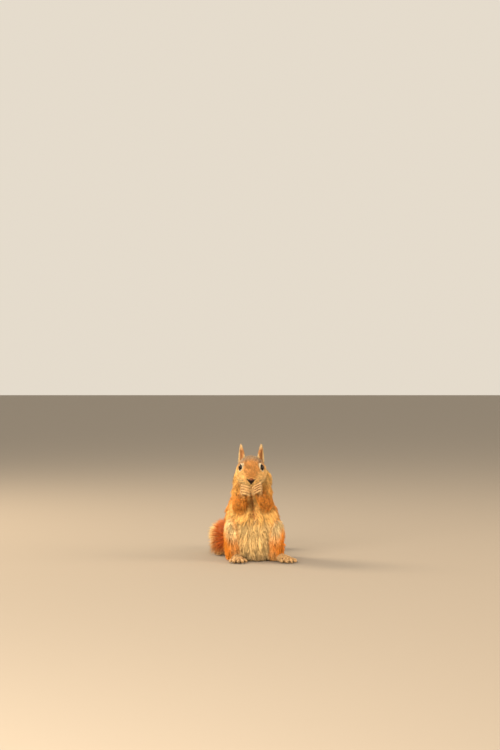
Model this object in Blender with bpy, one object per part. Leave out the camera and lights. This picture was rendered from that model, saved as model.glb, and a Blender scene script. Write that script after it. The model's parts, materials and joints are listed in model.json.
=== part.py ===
"""A life-size Caucasian squirrel, sitting up on its haunches with both forepaws at its mouth.

Every solid is the animal out to the tips of its coat. The frame is in metres, +Z up: the squirrel
faces -Y, its own left side is +X, and the origin is on the floor under the middle of its seat.
Sizes below are in millimetres, and each mesh is scaled to metres as it is made.
"""

import math

import bmesh
import bpy
import numpy as np
from mathutils import Matrix, Vector

MM = 0.001
GAP = 0.3  # clearance left between two neighbouring solids
ROUND_END = (30, 60)  # degrees up a rounded end at which a ring is set
SMALL_END = (45,)  # the same, on a finger or a toe

# Driving dimensions of the animal.
HEAD_X = -3.6  # the head is carried a little to the animal's right
EYE_RADIUS = 4.6
EYE_AT = (12.2, -27.5, 124.0)  # from the head's middle plane, for the left eye
EAR_FOOT = 128.4  # height of the notch at the foot of the ear
EAR_HEIGHT = 24.8
EAR_HALF_WIDTH = 6.6
TOE_LENGTH = 13.0
FIRST_TAIL_CUT, SECOND_TAIL_CUT = 0.34, 0.66  # shares of the tail's length

# Coat colours, linear, with one roughness each.
COATS = {
    "coat_back": ((0.40, 0.30, 0.20), 0.75),
    "coat_orange": ((0.62, 0.27, 0.06), 0.75),
    "coat_belly": ((0.77, 0.52, 0.22), 0.8),
    "coat_head": ((0.50, 0.25, 0.09), 0.75),
    "coat_tail": ((0.45, 0.13, 0.04), 0.75),
    "coat_feet": ((0.70, 0.47, 0.22), 0.7),
    "eye": ((0.010, 0.006, 0.004), 0.05),
    "nose": ((0.10, 0.035, 0.025), 0.45),
}


def clear_scene():
    for item in list(bpy.data.objects):
        bpy.data.objects.remove(item)


def material(name):
    colour, roughness = COATS[name]
    made = bpy.data.materials.get(name) or bpy.data.materials.new(name)
    made.use_nodes = True
    shader = made.node_tree.nodes["Principled BSDF"]
    shader.inputs["Base Color"].default_value = (*colour, 1)
    shader.inputs["Roughness"].default_value = roughness
    return made


def smooth_rows(rows, count):
    """count rows on a Catmull-Rom curve through the given rows, evenly spaced by row number."""
    rows = np.array(rows, float)
    padded = np.vstack([2 * rows[0] - rows[1], rows, 2 * rows[-1] - rows[-2]])
    made = []
    for t in np.linspace(0, len(rows) - 1, count):
        i = min(int(t), len(rows) - 2)
        u = t - i
        a, b, c, d = padded[i : i + 4]
        made.append(
            0.5 * (2 * b + (c - a) * u + (2 * a - 5 * b + 4 * c - d) * u**2 + (3 * b - a - 3 * c + d) * u**3)
        )
    return np.array(made)


def ring_points(row, tangent, side, segments, scale=1.0, shift=0.0):
    """One ring of a loft. Its row is x, y, z, half width, half height and how egg-shaped it is."""
    across = (side - side.dot(tangent) * tangent).normalized()
    up = tangent.cross(across)
    centre = Vector(row[:3]) + tangent * shift
    half_width, half_height, egg = row[3] * scale, row[4] * scale, row[5]
    points = []
    for k in range(segments):
        turn = 2 * math.pi * k / segments
        wide = half_width * math.sin(turn) * (1 - egg * math.cos(turn))
        points.append(centre + across * wide + up * half_height * math.cos(turn))
    return points


def lofted(rows, side=(1, 0, 0), segments=16, rings=9, caps=(3, 3), dome=ROUND_END):
    """A closed bmesh through the rows, with a dome of the given height on each end."""
    rows = smooth_rows([(*row, 0)[:6] for row in rows], rings)
    side = Vector(side)
    steps = np.gradient(rows[:, :3], axis=0)
    tangents = [Vector(step).normalized() for step in steps]
    first, last = (rows[0], tangents[0]), (rows[-1], tangents[-1])
    loops = []
    for angle in reversed(dome):
        lean = math.radians(angle)
        loops.append(ring_points(*first, side, segments, math.cos(lean), -caps[0] * math.sin(lean)))
    loops += [ring_points(row, tangent, side, segments) for row, tangent in zip(rows, tangents)]
    for angle in dome:
        lean = math.radians(angle)
        loops.append(ring_points(*last, side, segments, math.cos(lean), caps[1] * math.sin(lean)))
    poles = (Vector(rows[0][:3]) - tangents[0] * caps[0], Vector(rows[-1][:3]) + tangents[-1] * caps[1])
    made = bmesh.new()
    loops = [[made.verts.new(point) for point in loop] for loop in loops]
    for lower, upper in zip(loops, loops[1:]):
        for k in range(segments):
            after = (k + 1) % segments
            made.faces.new((lower[k], lower[after], upper[after], upper[k]))
    for pole, loop in zip(poles, (loops[0], loops[-1])):
        tip = made.verts.new(pole)
        for k in range(segments):
            made.faces.new((loop[k], loop[(k + 1) % segments], tip))
    bmesh.ops.recalc_face_normals(made, faces=made.faces)
    return made


def cut_by_plane(shape, point, normal):
    """Keeps the side that the normal points to, and closes the cut."""
    everything = shape.verts[:] + shape.edges[:] + shape.faces[:]
    cut = bmesh.ops.bisect_plane(
        shape, geom=everything, plane_co=point, plane_no=normal, clear_inner=True, dist=1e-4
    )
    rim = [item for item in cut["geom_cut"] if isinstance(item, bmesh.types.BMEdge)]
    bmesh.ops.holes_fill(shape, edges=rim)
    return shape


def on_floor(shape):
    """The shape with a flat where it would have sunk into the floor."""
    return cut_by_plane(shape, (0, 0, 0), (0, 0, 1))


def node(name, shape, coat):
    """An object in the scene from a bmesh in millimetres.

    Its faces are made triangles here, so that a solid and the cutter copied from it bend alike.
    """
    bmesh.ops.triangulate(shape, faces=shape.faces)
    bmesh.ops.scale(shape, vec=(MM, MM, MM), verts=shape.verts)
    mesh = bpy.data.meshes.new(name)
    shape.to_mesh(mesh)
    shape.free()
    mesh.shade_smooth()
    mesh.materials.append(material(coat))
    made = bpy.data.objects.new(name, mesh)
    bpy.context.scene.collection.objects.link(made)
    return made


def as_helper(item):
    item.hide_render = True
    item.display_type = "WIRE"
    return item


def add_boolean(item, other, operation):
    cut = item.modifiers.new(f"{operation.lower()} {other.name}", "BOOLEAN")
    cut.operation = operation
    cut.solver = "EXACT"
    cut.object = other


def joined(name, shapes, coat):
    """One solid from several shapes that run into each other."""
    whole = node(name, shapes[0], coat)
    for number, shape in enumerate(shapes[1:]):
        piece = as_helper(node(f"{name}_piece_{number}", shape, coat))
        add_boolean(whole, piece, "UNION")
    return whole


def make_trunk():
    """Pear-shaped: wide haunches, a straight upper column, and the back arched behind it."""
    rows = [
        (0.0, 6, 2, 27.0, 30.0),
        (0.0, 5.5, 11, 33.0, 38.5),
        (0.0, 5, 27, 36.5, 42.5),
        (-1.4, 6, 45, 36.9, 42.0),
        (-3.2, 8.5, 60, 35.3, 38.0),
        (-3.6, 11, 74, 32.0, 32.0),
        (-2.4, 10.5, 87, 25.5, 27.0),
        (-2.6, 7, 99, 22.5, 21.5),
        (-2.8, 3, 107, 20.5, 17.0),
    ]
    return node("trunk", on_floor(lofted(rows, segments=19, rings=13, caps=(5, 5))), "coat_belly")


def make_neck():
    rows = [
        (-2.2, 6.0, 99, 25.8, 23.0),
        (-2.2, 3, 107.5, 26.2, 21.5),
        (HEAD_X, -1.5, 116, 22.5, 18.5),
        (HEAD_X, -4, 124, 17.5, 14.0),
    ]
    return node("neck", lofted(rows, segments=16, rings=5, caps=(3, 3)), "coat_back")


def make_head():
    """From the muzzle to the nape: narrow at the nose, broadest at the cheeks."""
    profile = [
        # y, height of the middle, half width, half height, fullness of the cheeks
        (-49.2, 107.4, 5.8, 5.4, 0.00),
        (-46.4, 107.8, 8.6, 8.2, 0.02),
        (-40.5, 109.4, 11.2, 11.0, 0.02),
        (-34.0, 112.2, 14.6, 14.2, 0.00),
        (-27.5, 115.0, 17.8, 17.2, 0.00),
        (-19.0, 117.5, 20.2, 19.9, 0.06),
        (-10.0, 118.4, 20.8, 21.0, 0.10),
        (-2.5, 118.2, 19.0, 19.8, 0.06),
        (3.0, 117.0, 15.4, 15.6, 0.00),
    ]
    rows = [(HEAD_X, y, z, wide, high, -egg) for y, z, wide, high, egg in profile]
    return node("head", lofted(rows, segments=18, rings=11, caps=(1.8, 6)), "coat_head")


def make_nose():
    rows = [
        (HEAD_X, -47.6, 110.0, 3.2, 2.2),
        (HEAD_X, -50.0, 109.4, 3.6, 2.6),
        (HEAD_X, -51.4, 108.6, 2.4, 1.9),
    ]
    return node("nose", lofted(rows, segments=10, rings=4, caps=(0.8, 0.6), dome=SMALL_END), "nose")


def make_eye(name, sign):
    shape = bmesh.new()
    bmesh.ops.create_uvsphere(shape, u_segments=12, v_segments=8, radius=EYE_RADIUS)
    across, y, z = EYE_AT
    bmesh.ops.translate(shape, vec=(HEAD_X + sign * across, y, z), verts=shape.verts)
    return node(name, shape, "eye")


def ear_leaf(sign, grow, inward, base_depth):
    """A flat upright leaf, egg-shaped at its foot and pointed at its tip."""
    opening = Vector((0.80 * sign, -0.60, 0.0))
    width = Vector((0.60, 0.80 * sign, 0.0))
    foot = Vector((HEAD_X + sign * 12.6, -8.0, EAR_FOOT)) - opening * inward
    tip = Vector((HEAD_X + sign * 13.6, -4.5, EAR_FOOT + EAR_HEIGHT)) - opening * inward
    profile = [
        # share of the height, share of the width, thickness
        (-0.25, 0.80, 1.0),
        (0.10, 0.98, 1.0),
        (0.40, 0.94, 0.80),
        (0.70, 0.64, 0.60),
        (0.93, 0.27, 0.42),
    ]
    rows = []
    for share, wide, thick in profile:
        centre = foot.lerp(tip, share) - opening * 1.6 * share * (1 - share)
        rows.append((*centre, EAR_HALF_WIDTH * wide + grow, base_depth * thick + grow))
    return lofted(rows, side=width, segments=12, rings=8, caps=(1.0, 1.5 + grow), dome=SMALL_END)


def make_ear(name, sign):
    """The leaf less a hollow that opens outwards and forwards."""
    ear = node(name, ear_leaf(sign, 0.0, 0.0, 3.0), "coat_head")
    hollow = as_helper(node(f"{name}_hollow", ear_leaf(sign, -1.4, -2.2, 3.4), "coat_head"))
    add_boolean(ear, hollow, "DIFFERENCE")
    return ear


def make_thigh(name, sign, knee_x, knee_top):
    """The folded haunch, from the hip behind to the raised knee in front."""
    rows = [
        (sign * 22.0, 26, 27, 14.0, 21.0),
        (sign * 25.0, 10, 29, 14.8, 26.5),
        (sign * (knee_x - 2.5), -9, knee_top - 27.5, 13.6, 27.0),
        (sign * knee_x, -23, knee_top - 21.5, 11.2, 21.5),
    ]
    return node(name, on_floor(lofted(rows, segments=16, rings=8, caps=(13, 8))), "coat_orange")


def make_shank(name, sign, knee_x, ankle_x):
    rows = [
        (sign * (knee_x - 0.5), -19, 31, 10.6, 10.0),
        (sign * (knee_x + ankle_x) / 2, -18.5, 20, 12.0, 13.5),
        (sign * ankle_x, -14, 8, 12.6, 13.0),
    ]
    return node(name, on_floor(lofted(rows, segments=14, rings=6, caps=(4, 5))), "coat_orange")


def toe(base, heading, length, radius, lift):
    """One toe with its claw, as a tapering tube from its knuckle to the claw's tip."""
    aim = Vector((math.sin(heading), -math.cos(heading), 0))
    profile = [
        # share of the length, thickness, rise
        (-0.35, 1.10, 0.40),
        (0.00, 1.00, 0.90),
        (0.40, 0.98, 1.00),
        (0.72, 0.82, 0.35),
        (0.84, 0.34, 0.25),
        (1.00, 0.16, -0.15),
    ]
    rows = []
    for share, thick, rise in profile:
        at = Vector(base) + aim * length * share + Vector((0, 0, lift * rise))
        rows.append((*at, radius * thick * 0.95, radius * thick))
    return lofted(rows, segments=6, rings=6, caps=(1.0, 0.3), dome=SMALL_END)


def make_foot(name, heel, heading):
    """A long flat sole with five toes. Its heading is the turn away from straight ahead."""
    turn = Matrix.Rotation(heading, 3, "Z")
    sole = [(0, 4, 6.0, 5.5, 5.5), (0, -12, 5.6, 6.6, 5.8), (0, -28, 4.8, 8.2, 4.8), (0, -36, 4.2, 8.0, 4.0)]
    rows = [(*(Vector(heel) + turn @ Vector(row[:3])), *row[3:]) for row in sole]
    side = turn @ Vector((1, 0, 0))
    shapes = [on_floor(lofted(rows, side=side, segments=10, rings=5, caps=(4, 2.5), dome=SMALL_END))]
    toes = [
        # place across the foot, place along it, splay in degrees, share of the full length
        (-7.2, -30.0, -26, 0.80),
        (-4.2, -35.5, -12, 0.98),
        (-0.2, -36.5, 0, 1.00),
        (3.9, -35.0, 12, 0.98),
        (7.0, -29.0, 28, 0.82),
    ]
    for across, along, splay, share in toes:
        base = Vector(heel) + turn @ Vector((across, along, 2.3))
        # A turn about +Z by the heading swings straight ahead, -Y, towards +X.
        shapes.append(on_floor(toe(base, heading + math.radians(splay), TOE_LENGTH * share, 2.5, 1.6)))
    return joined(name, shapes, "coat_feet")


def make_upper_arm(name, shoulder, elbow, radius):
    middle = (Vector(shoulder) + Vector(elbow)) / 2 + Vector((0, 1.5, 0))
    rows = [(*shoulder, 8.6, 14.0), (*middle, radius, 13.0), (*elbow, radius, radius + 1.0)]
    return node(name, lofted(rows, segments=14, rings=6, caps=(6, 6)), "coat_orange")


def make_forearm(name, elbow, wrist, radius):
    middle = Vector(elbow).lerp(Vector(wrist), 0.5) + Vector((0, -1.0, -1.0))
    rows = [(*elbow, radius - 0.2, radius + 0.6), (*middle, 7.8, 9.0), (*wrist, 5.4, 6.2)]
    return node(name, lofted(rows, segments=12, rings=6, caps=(5, 2)), "coat_orange")


def make_hand(name, sign, wrist, lift, across, drop, pitch):
    """A palm turned inwards, with four fingers that bend round in front of it, one above the other.

    The palm is lifted by lift. Its fingers lie a pitch apart, and reach across towards the other
    hand as they drop.
    """
    heel = Vector(wrist) + Vector((0, 0, 3.0))
    knuckles = heel + Vector((sign * 0.4, -8.2, 4.0 + lift))
    rise = Vector((0, 4.0, 8.2)).normalized()  # from the little finger to the first
    rows = [
        (*heel, 4.0, 5.0),
        (*heel.lerp(knuckles, 0.55), 3.6, 3.2 + pitch),
        (*knuckles, 2.8, 1.95 * pitch),
    ]
    shapes = [lofted(rows, side=(1, 0, 0), segments=10, rings=5, caps=(1.5, 1.5), dome=SMALL_END)]
    for number in range(4):
        base = knuckles + rise * pitch * (1.5 - number) + Vector((sign * 0.9, 0.2, 0.1))
        bend = base + Vector((-sign * 0.7, -4.2, 0.2))
        middle = base + Vector((-sign * across * 0.52, -6.1, -drop * 0.38))
        tip = base + Vector((-sign * across, -5.2, -drop))
        finger = []
        for at, share in ((base, 0.50), (bend, 0.47), (middle, 0.44), (tip, 0.33)):
            finger.append((*at, pitch * share, pitch * share))
        shapes.append(lofted(finger, side=(0, 0, 1), segments=6, rings=4, caps=(1.2, 0.9), dome=SMALL_END))
    return joined(name, shapes, "coat_feet")


def tail_rows():
    """The tail leaves the seat, sweeps round the right hip and lies back along the floor."""
    path = [
        (-4, 33, 14),
        (-17, 36, 17),
        (-29, 41.5, 20.5),
        (-36.5, 54, 22.5),
        (-38.5, 73, 24),
        (-34.5, 96, 25.5),
        (-22, 117, 30),
        (-7, 132, 37),
    ]
    radii = (12, 16, 20, 22.5, 24, 23.5, 20.5, 13)
    return [(*point, radius, radius) for point, radius in zip(path, radii)]


def make_tail():
    """The whole tail, parted into three lengths by two thin plane cuts."""
    rows = smooth_rows(tail_rows(), 101)
    cuts = []
    for share in (FIRST_TAIL_CUT, SECOND_TAIL_CUT):
        k = round(share * 100)
        cuts.append((Vector(rows[k][:3]), Vector(rows[k + 1][:3] - rows[k - 1][:3]).normalized()))
    names = ("tail_root", "tail_middle", "tail_tip")
    made = []
    for number, name in enumerate(names):
        shape = on_floor(lofted(tail_rows(), segments=16, rings=14, caps=(5, 15)))
        if number > 0:
            point, along = cuts[number - 1]
            cut_by_plane(shape, point + along * GAP / 2, along)
        if number < len(cuts):
            point, along = cuts[number]
            cut_by_plane(shape, point - along * GAP / 2, -along)
        made.append(node(name, shape, "coat_tail"))
    return made


def box_of(item):
    corners = np.array([vertex.co for vertex in item.data.vertices])
    return corners.min(axis=0), corners.max(axis=0)


def boxes_meet(first, second):
    (low_a, high_a), (low_b, high_b) = box_of(first), box_of(second)
    room = 2 * GAP * MM
    return bool(np.all(low_a - room < high_b) and np.all(low_b - room < high_a))


def inflated(item):
    """A hidden copy of the solid, larger by the gap, for cutting its neighbours."""
    copy = as_helper(bpy.data.objects.new(f"{item.name}_cutter", item.data.copy()))
    bpy.context.scene.collection.objects.link(copy)
    for modifier in item.modifiers:
        if modifier.type == "BOOLEAN" and modifier.operation == "UNION":
            add_boolean(copy, modifier.object, "UNION")
    swell = copy.modifiers.new("swell", "DISPLACE")
    swell.mid_level = 0
    swell.strength = GAP * MM
    return copy


def part_neighbours(ordered):
    """Cuts each solid back from every earlier one that it runs into."""
    cutters = {item.name: inflated(item) for item in ordered}
    for number, item in enumerate(ordered):
        for earlier in ordered[:number]:
            if boxes_meet(item, earlier):
                add_boolean(item, cutters[earlier.name], "DIFFERENCE")


def main():
    clear_scene()
    ordered = [make_trunk(), make_neck(), make_nose()]
    sides = (("right", -1), ("left", 1))
    ordered += [make_eye(f"eye_{side}", sign) for side, sign in sides]
    ordered += [make_head()]
    ordered += [make_ear(f"ear_{side}", sign) for side, sign in sides]
    knees = {"right": (28.2, 62.5), "left": (28.8, 59.0)}  # place across, height of the top
    ordered += [make_thigh(f"thigh_{side}", sign, *knees[side]) for side, sign in sides]
    ankles = {"right": 25.5, "left": 27.0}
    ordered += [make_shank(f"shank_{side}", sign, knees[side][0], ankles[side]) for side, sign in sides]
    feet = {"right": ((-23.5, -8.0, 0.0), math.radians(4)), "left": ((27.0, -10.0, 0.0), math.radians(30))}
    ordered += [make_foot(f"foot_{side}", *feet[side]) for side, sign in sides]
    hands = {"right": (0.4, 10.6, 2.6, 3.6), "left": (3.4, 12.6, 7.0, 3.3)}  # lift, reach, drop, pitch
    elbows = {"right": (-19.3, 73.4, 9.4), "left": (17.2, 75.5, 8.2)}  # place across, height, radius
    for side, sign in sides:
        across, height, radius = elbows[side]
        shoulder = (-2.5 + sign * 18.1, -0.4, 93.2)
        elbow = (across, -19.6, height)
        wrist = (HEAD_X + sign * 11.0, -43.5, 90.0)
        ordered.append(make_upper_arm(f"upper_arm_{side}", shoulder, elbow, radius))
        ordered.append(make_forearm(f"forearm_{side}", elbow, wrist, radius))
        ordered.append(make_hand(f"hand_{side}", sign, wrist, *hands[side]))
    ordered += make_tail()
    part_neighbours(ordered)


main()
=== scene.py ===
# %% [markdown]
# # A Caucasian squirrel, sitting up with its forepaws at its mouth
#
# The solid model has the animal's outline out to the tips of its coat. A museum's mount has a body
# form inside that outline, a skin over the form and hair on the skin, and this lesson makes the same
# three layers in the same order: skin, then eyes, claws and whiskers, then the coat.
# Everything is in metres, in the frame of the solids: +Z is up and the squirrel faces -Y.

# %% the solids, and their box before anything is dressed
import json
import math
import random

import bmesh
import bpy
import numpy as np
from mathutils import Matrix, Vector, noise
from mathutils.bvhtree import BVHTree
from mathutils.kdtree import KDTree

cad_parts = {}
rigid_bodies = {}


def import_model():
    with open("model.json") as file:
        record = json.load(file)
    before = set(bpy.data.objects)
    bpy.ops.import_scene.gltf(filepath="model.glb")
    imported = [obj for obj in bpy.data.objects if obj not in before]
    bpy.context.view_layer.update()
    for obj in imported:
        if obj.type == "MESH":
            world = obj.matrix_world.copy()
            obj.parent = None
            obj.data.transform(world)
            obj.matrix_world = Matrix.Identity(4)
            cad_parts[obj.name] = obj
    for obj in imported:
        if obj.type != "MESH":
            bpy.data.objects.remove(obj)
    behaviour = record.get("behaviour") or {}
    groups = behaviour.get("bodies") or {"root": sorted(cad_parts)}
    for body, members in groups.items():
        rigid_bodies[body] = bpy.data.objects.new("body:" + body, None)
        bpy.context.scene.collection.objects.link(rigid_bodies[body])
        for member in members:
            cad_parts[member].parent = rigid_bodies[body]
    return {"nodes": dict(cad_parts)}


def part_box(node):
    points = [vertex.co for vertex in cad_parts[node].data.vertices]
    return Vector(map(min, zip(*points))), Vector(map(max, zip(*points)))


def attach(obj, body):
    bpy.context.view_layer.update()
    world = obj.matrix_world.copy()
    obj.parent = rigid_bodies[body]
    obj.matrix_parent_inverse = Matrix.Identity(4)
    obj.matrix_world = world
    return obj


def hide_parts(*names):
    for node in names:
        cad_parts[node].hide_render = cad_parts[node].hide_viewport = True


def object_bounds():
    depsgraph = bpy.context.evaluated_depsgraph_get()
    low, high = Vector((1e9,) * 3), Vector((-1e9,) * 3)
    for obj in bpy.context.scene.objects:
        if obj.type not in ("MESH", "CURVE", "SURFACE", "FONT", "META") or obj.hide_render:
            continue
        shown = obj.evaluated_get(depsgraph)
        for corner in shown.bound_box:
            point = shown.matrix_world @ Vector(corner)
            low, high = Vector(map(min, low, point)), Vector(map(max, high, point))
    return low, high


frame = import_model()
solid_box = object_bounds()

MM = 0.001
scene = bpy.context.scene
solid_size = [round((high - low) / MM) for low, high in zip(*solid_box)]
print(len(frame["nodes"]), "solids in a box of", solid_size, "mm")

# %% [markdown]
# ## Helpers for nodes, colours and materials
#
# Every material and every Geometry Nodes tree is a set of nodes with settings and links, so one
# function that adds a node is enough. Colours are picked as sRGB hex values, as in any paint
# program, but shaders work in linear light, so one function turns them. A new material starts with
# a Principled BSDF, and its constants go straight on that shader's sockets.

# %% a node with its settings and links, a colour from its hex value, and a new material


def add(tree, kind, inputs=None, **settings):
    """Adds a node. Each input is a plain value, or another node's output to link from."""
    node = tree.nodes.new(kind)
    for name, value in settings.items():
        setattr(node, name, value)
    for key, value in (inputs or {}).items():
        if isinstance(value, bpy.types.NodeSocket):
            tree.links.new(value, node.inputs[key])
        else:
            node.inputs[key].default_value = value
    return node


def colour(hexadecimal):
    """An sRGB hex value such as "#E0953F" as linear red, green and blue."""
    values = [int(hexadecimal[k : k + 2], 16) / 255 for k in (1, 3, 5)]
    return np.array([v / 12.92 if v <= 0.04045 else ((v + 0.055) / 1.055) ** 2.4 for v in values])


def new_material(name, constants):
    """A material with its tree and its shader, whose sockets get these constants."""
    made = bpy.data.materials.new(name)
    made.use_nodes = True
    shader = made.node_tree.nodes["Principled BSDF"]
    for key, value in constants.items():
        shader.inputs[key].default_value = value
    return made, made.node_tree, shader


print("mid grey #808080 is", round(float(colour("#808080")[0]), 3), "in linear light")

# %% [markdown]
# ## Floor, light and camera
#
# A plain floor of matt board, pale under the lamps, and three soft lamps show the coat without
# shaping it. The smallest lamp stands behind the animal's right shoulder, so that the hair tips
# along that side are lit through, which is what makes fur read as soft. A wide one in front gives
# most of the light, and one on the left fills the shadows. The camera is low and far off, with a
# long lens.

# %% floor, lamps and camera


def lamp(name, place, target, size, power, tint):
    made = bpy.data.objects.new(name, bpy.data.lights.new(name, "AREA"))
    made.data.shape = "DISK"
    made.data.size = size
    made.data.energy = power
    made.data.color = colour(tint)
    made.location = place
    made.rotation_euler = (Vector(target) - Vector(place)).to_track_quat("-Z", "Y").to_euler()
    scene.collection.objects.link(made)


FLOOR_HALF = 9.0
floor_mesh = bpy.data.meshes.new("floor")
floor_corners = [(x * FLOOR_HALF, y * FLOOR_HALF, 0) for x, y in ((-1, -1), (1, -1), (1, 1), (-1, 1))]
floor_mesh.from_pydata(floor_corners, [], [(0, 1, 2, 3)])
floor = bpy.data.objects.new("floor", floor_mesh)
scene.collection.objects.link(floor)
board = {"Base Color": (*colour("#958B7E"), 1), "Roughness": 0.9}
floor_mesh.materials.append(new_material("matt pale board", board)[0])

body_middle = (0, 0.02, 0.07)
lamp("key, behind the right shoulder", (-1.2, 0.55, 1.1), body_middle, 0.7, 30, "#FFE8C8")
lamp("front", (-0.75, -1.75, 0.62), body_middle, 1.3, 56, "#FFEFD8")
lamp("fill", (1.8, -0.5, 0.8), body_middle, 1.4, 34, "#FFE8CC")

world = bpy.data.worlds.new("soft room")
world.use_nodes = True
world.node_tree.nodes["Background"].inputs["Color"].default_value = (*colour("#F0E6D6"), 1)
world.node_tree.nodes["Background"].inputs["Strength"].default_value = 0.9
scene.world = world
scene.view_settings.view_transform = "Standard"

camera = bpy.data.objects.new("camera", bpy.data.cameras.new("camera"))
camera.data.lens = 85
camera.data.sensor_width = 36
camera.location = (-0.0052, -2.356, 0.276)
camera.rotation_euler = (math.radians(90 - 0.74), 0, 0)
scene.collection.objects.link(camera)
scene.camera = camera
print("camera", round(-camera.location.y, 2), "m in front, lens", camera.data.lens, "mm")

# %% [markdown]
# ## The skin, first as one closed surface
#
# The solids are separate pieces with hair-thin gaps between them, and a real skin has no seams.
# One way to join them is a chain of Booleans, but that leaves a crease at every joint. A voxel
# remesh is closer to how a skin is drawn over a form: it wraps whatever lies closer together than
# a voxel in one even mesh. Pieces are first swollen a little, so that the gaps close. Fingers, toes
# and ears are not, so that they stay apart.

# %% one mesh from all the pieces of flesh
JOIN_VOXEL = 0.6 * MM
GAP_FILL = 0.45 * MM  # how far a piece is swollen
FINE_KINDS = ("hand", "foot", "ear")


def kind_of(node):
    """The kind of body part: thigh_left is a thigh, and tail_tip is part of the tail."""
    return "tail" if node.startswith("tail") else node.removesuffix("_left").removesuffix("_right")


def as_mesh(shape, name):
    """Turns a bmesh into a mesh and frees it."""
    mesh = bpy.data.meshes.new(name)
    shape.to_mesh(mesh)
    shape.free()
    return mesh


def merged_copy(node, grow):
    """A node's shape with its loose corners joined, swollen by grow."""
    shape = bmesh.new()
    shape.from_mesh(frame["nodes"][node].data)
    bmesh.ops.remove_doubles(shape, verts=shape.verts, dist=1e-6)
    shape.normal_update()
    for vertex in shape.verts:
        vertex.co += vertex.normal * grow
    return as_mesh(shape, node)


def evaluated(mesh, kind, **settings):
    """The mesh as one modifier with these settings leaves it."""
    item = bpy.data.objects.new("being worked", mesh)
    scene.collection.objects.link(item)
    modifier = item.modifiers.new(kind, kind)
    for name, value in settings.items():
        setattr(modifier, name, value)
    made = bpy.data.meshes.new_from_object(item.evaluated_get(bpy.context.evaluated_depsgraph_get()))
    bpy.data.objects.remove(item)
    return made


flesh = [node for node in frame["nodes"] if not node.startswith("eye")]
together = bmesh.new()
for node in frame["nodes"]:
    together.from_mesh(merged_copy(node, 0 if kind_of(node) in FINE_KINDS else GAP_FILL))
skin = evaluated(as_mesh(together, "skin"), "REMESH", mode="VOXEL", voxel_size=JOIN_VOXEL)
print("one surface of", len(skin.polygons), "faces from", len(flesh), "solids")

# %% [markdown]
# ## Which part of the body each corner of the skin belongs to
#
# The length, lie and colour of hair change from part to part. Each corner of the skin asks which
# solid is nearest, and the answers are later evened out between neighbours, so that one part's
# coat runs into the next as it does in life.

# %% corners, edges and normals as arrays


def corners(mesh):
    values = np.empty(len(mesh.vertices) * 3, np.float32)
    mesh.vertices.foreach_get("co", values)
    return values.reshape(-1, 3).astype(float)


def put_corners(mesh, points):
    mesh.vertices.foreach_set("co", points.astype(np.float32).ravel())
    mesh.update()


def normals(mesh):
    values = np.empty(len(mesh.vertices) * 3, np.float32)
    mesh.vertex_normals.foreach_get("vector", values)
    return values.reshape(-1, 3).astype(float)


def edges(mesh):
    values = np.empty(len(mesh.edges) * 2, np.int32)
    mesh.edges.foreach_get("vertices", values)
    return values.reshape(-1, 2)


print(len(corners(skin)), "corners and", len(edges(skin)), "edges")

# %% the evening out of values between neighbours, unit vectors and soft steps


def evened(values, pairs, rounds, share=0.5):
    """Moves each value towards the mean of its neighbours' values, rounds times."""
    values = np.array(values, float)
    table = values.reshape(len(values), -1)
    count = np.maximum(np.bincount(pairs.ravel(), minlength=len(values)), 1)
    for _ in range(rounds):
        for column in table.T:
            total = np.bincount(pairs[:, 0], column[pairs[:, 1]], len(values))
            total += np.bincount(pairs[:, 1], column[pairs[:, 0]], len(values))
            column += (total / count - column) * share
    return table.reshape(values.shape)


def unit(vectors):
    return vectors / np.maximum(np.linalg.norm(vectors, axis=-1, keepdims=True), 1e-12)


def smooth_step(value, low, high):
    """0 below low, 1 above high, and an even S between them."""
    t = np.clip((value - low) / (high - low), 0, 1)
    return t * t * (3 - 2 * t)


# %% the solid nearest to each corner


def nearest_nodes(points):
    """The number in flesh of the solid nearest to each point."""
    verts, faces, owner = [], [], []
    for number, node in enumerate(flesh):
        mesh = frame["nodes"][node].data
        faces += [[len(verts) + k for k in polygon.vertices] for polygon in mesh.polygons]
        verts += [vertex.co for vertex in mesh.vertices]
        owner += [number] * len(mesh.polygons)
    tree = BVHTree.FromPolygons(verts, faces)
    return np.array([owner[tree.find_nearest(point)[2]] for point in points])


owners = nearest_nodes(corners(skin))
kinds = [kind_of(node) for node in flesh]
tally = dict.fromkeys(kinds, 0)
for number, kind in enumerate(kinds):
    tally[kind] += int((owners == number).sum())
print("corners nearest to each kind of part:", tally)

# %% [markdown]
# ## The flesh lies inside the outline by the depth of the coat
#
# The depth is what a ruler would find between the skin and the outside of the fur: half a
# millimetre on a foot, nearly five on the back, and up to seventeen on the tail, whose bone and skin
# are no thicker than a finger. Scaling each piece would open gaps, so the whole surface sinks along
# its own normals, a millimetre at a time, and is wrapped afresh after each millimetre, because a
# mesh that shrinks crowds its corners until they fold. The tail is drawn in towards its bones
# first. Paws and ears are too fine for this wrapping. They sink out of the way, and their own
# solids, thinner by the depth of their coat, are joined on at the end.

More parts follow.
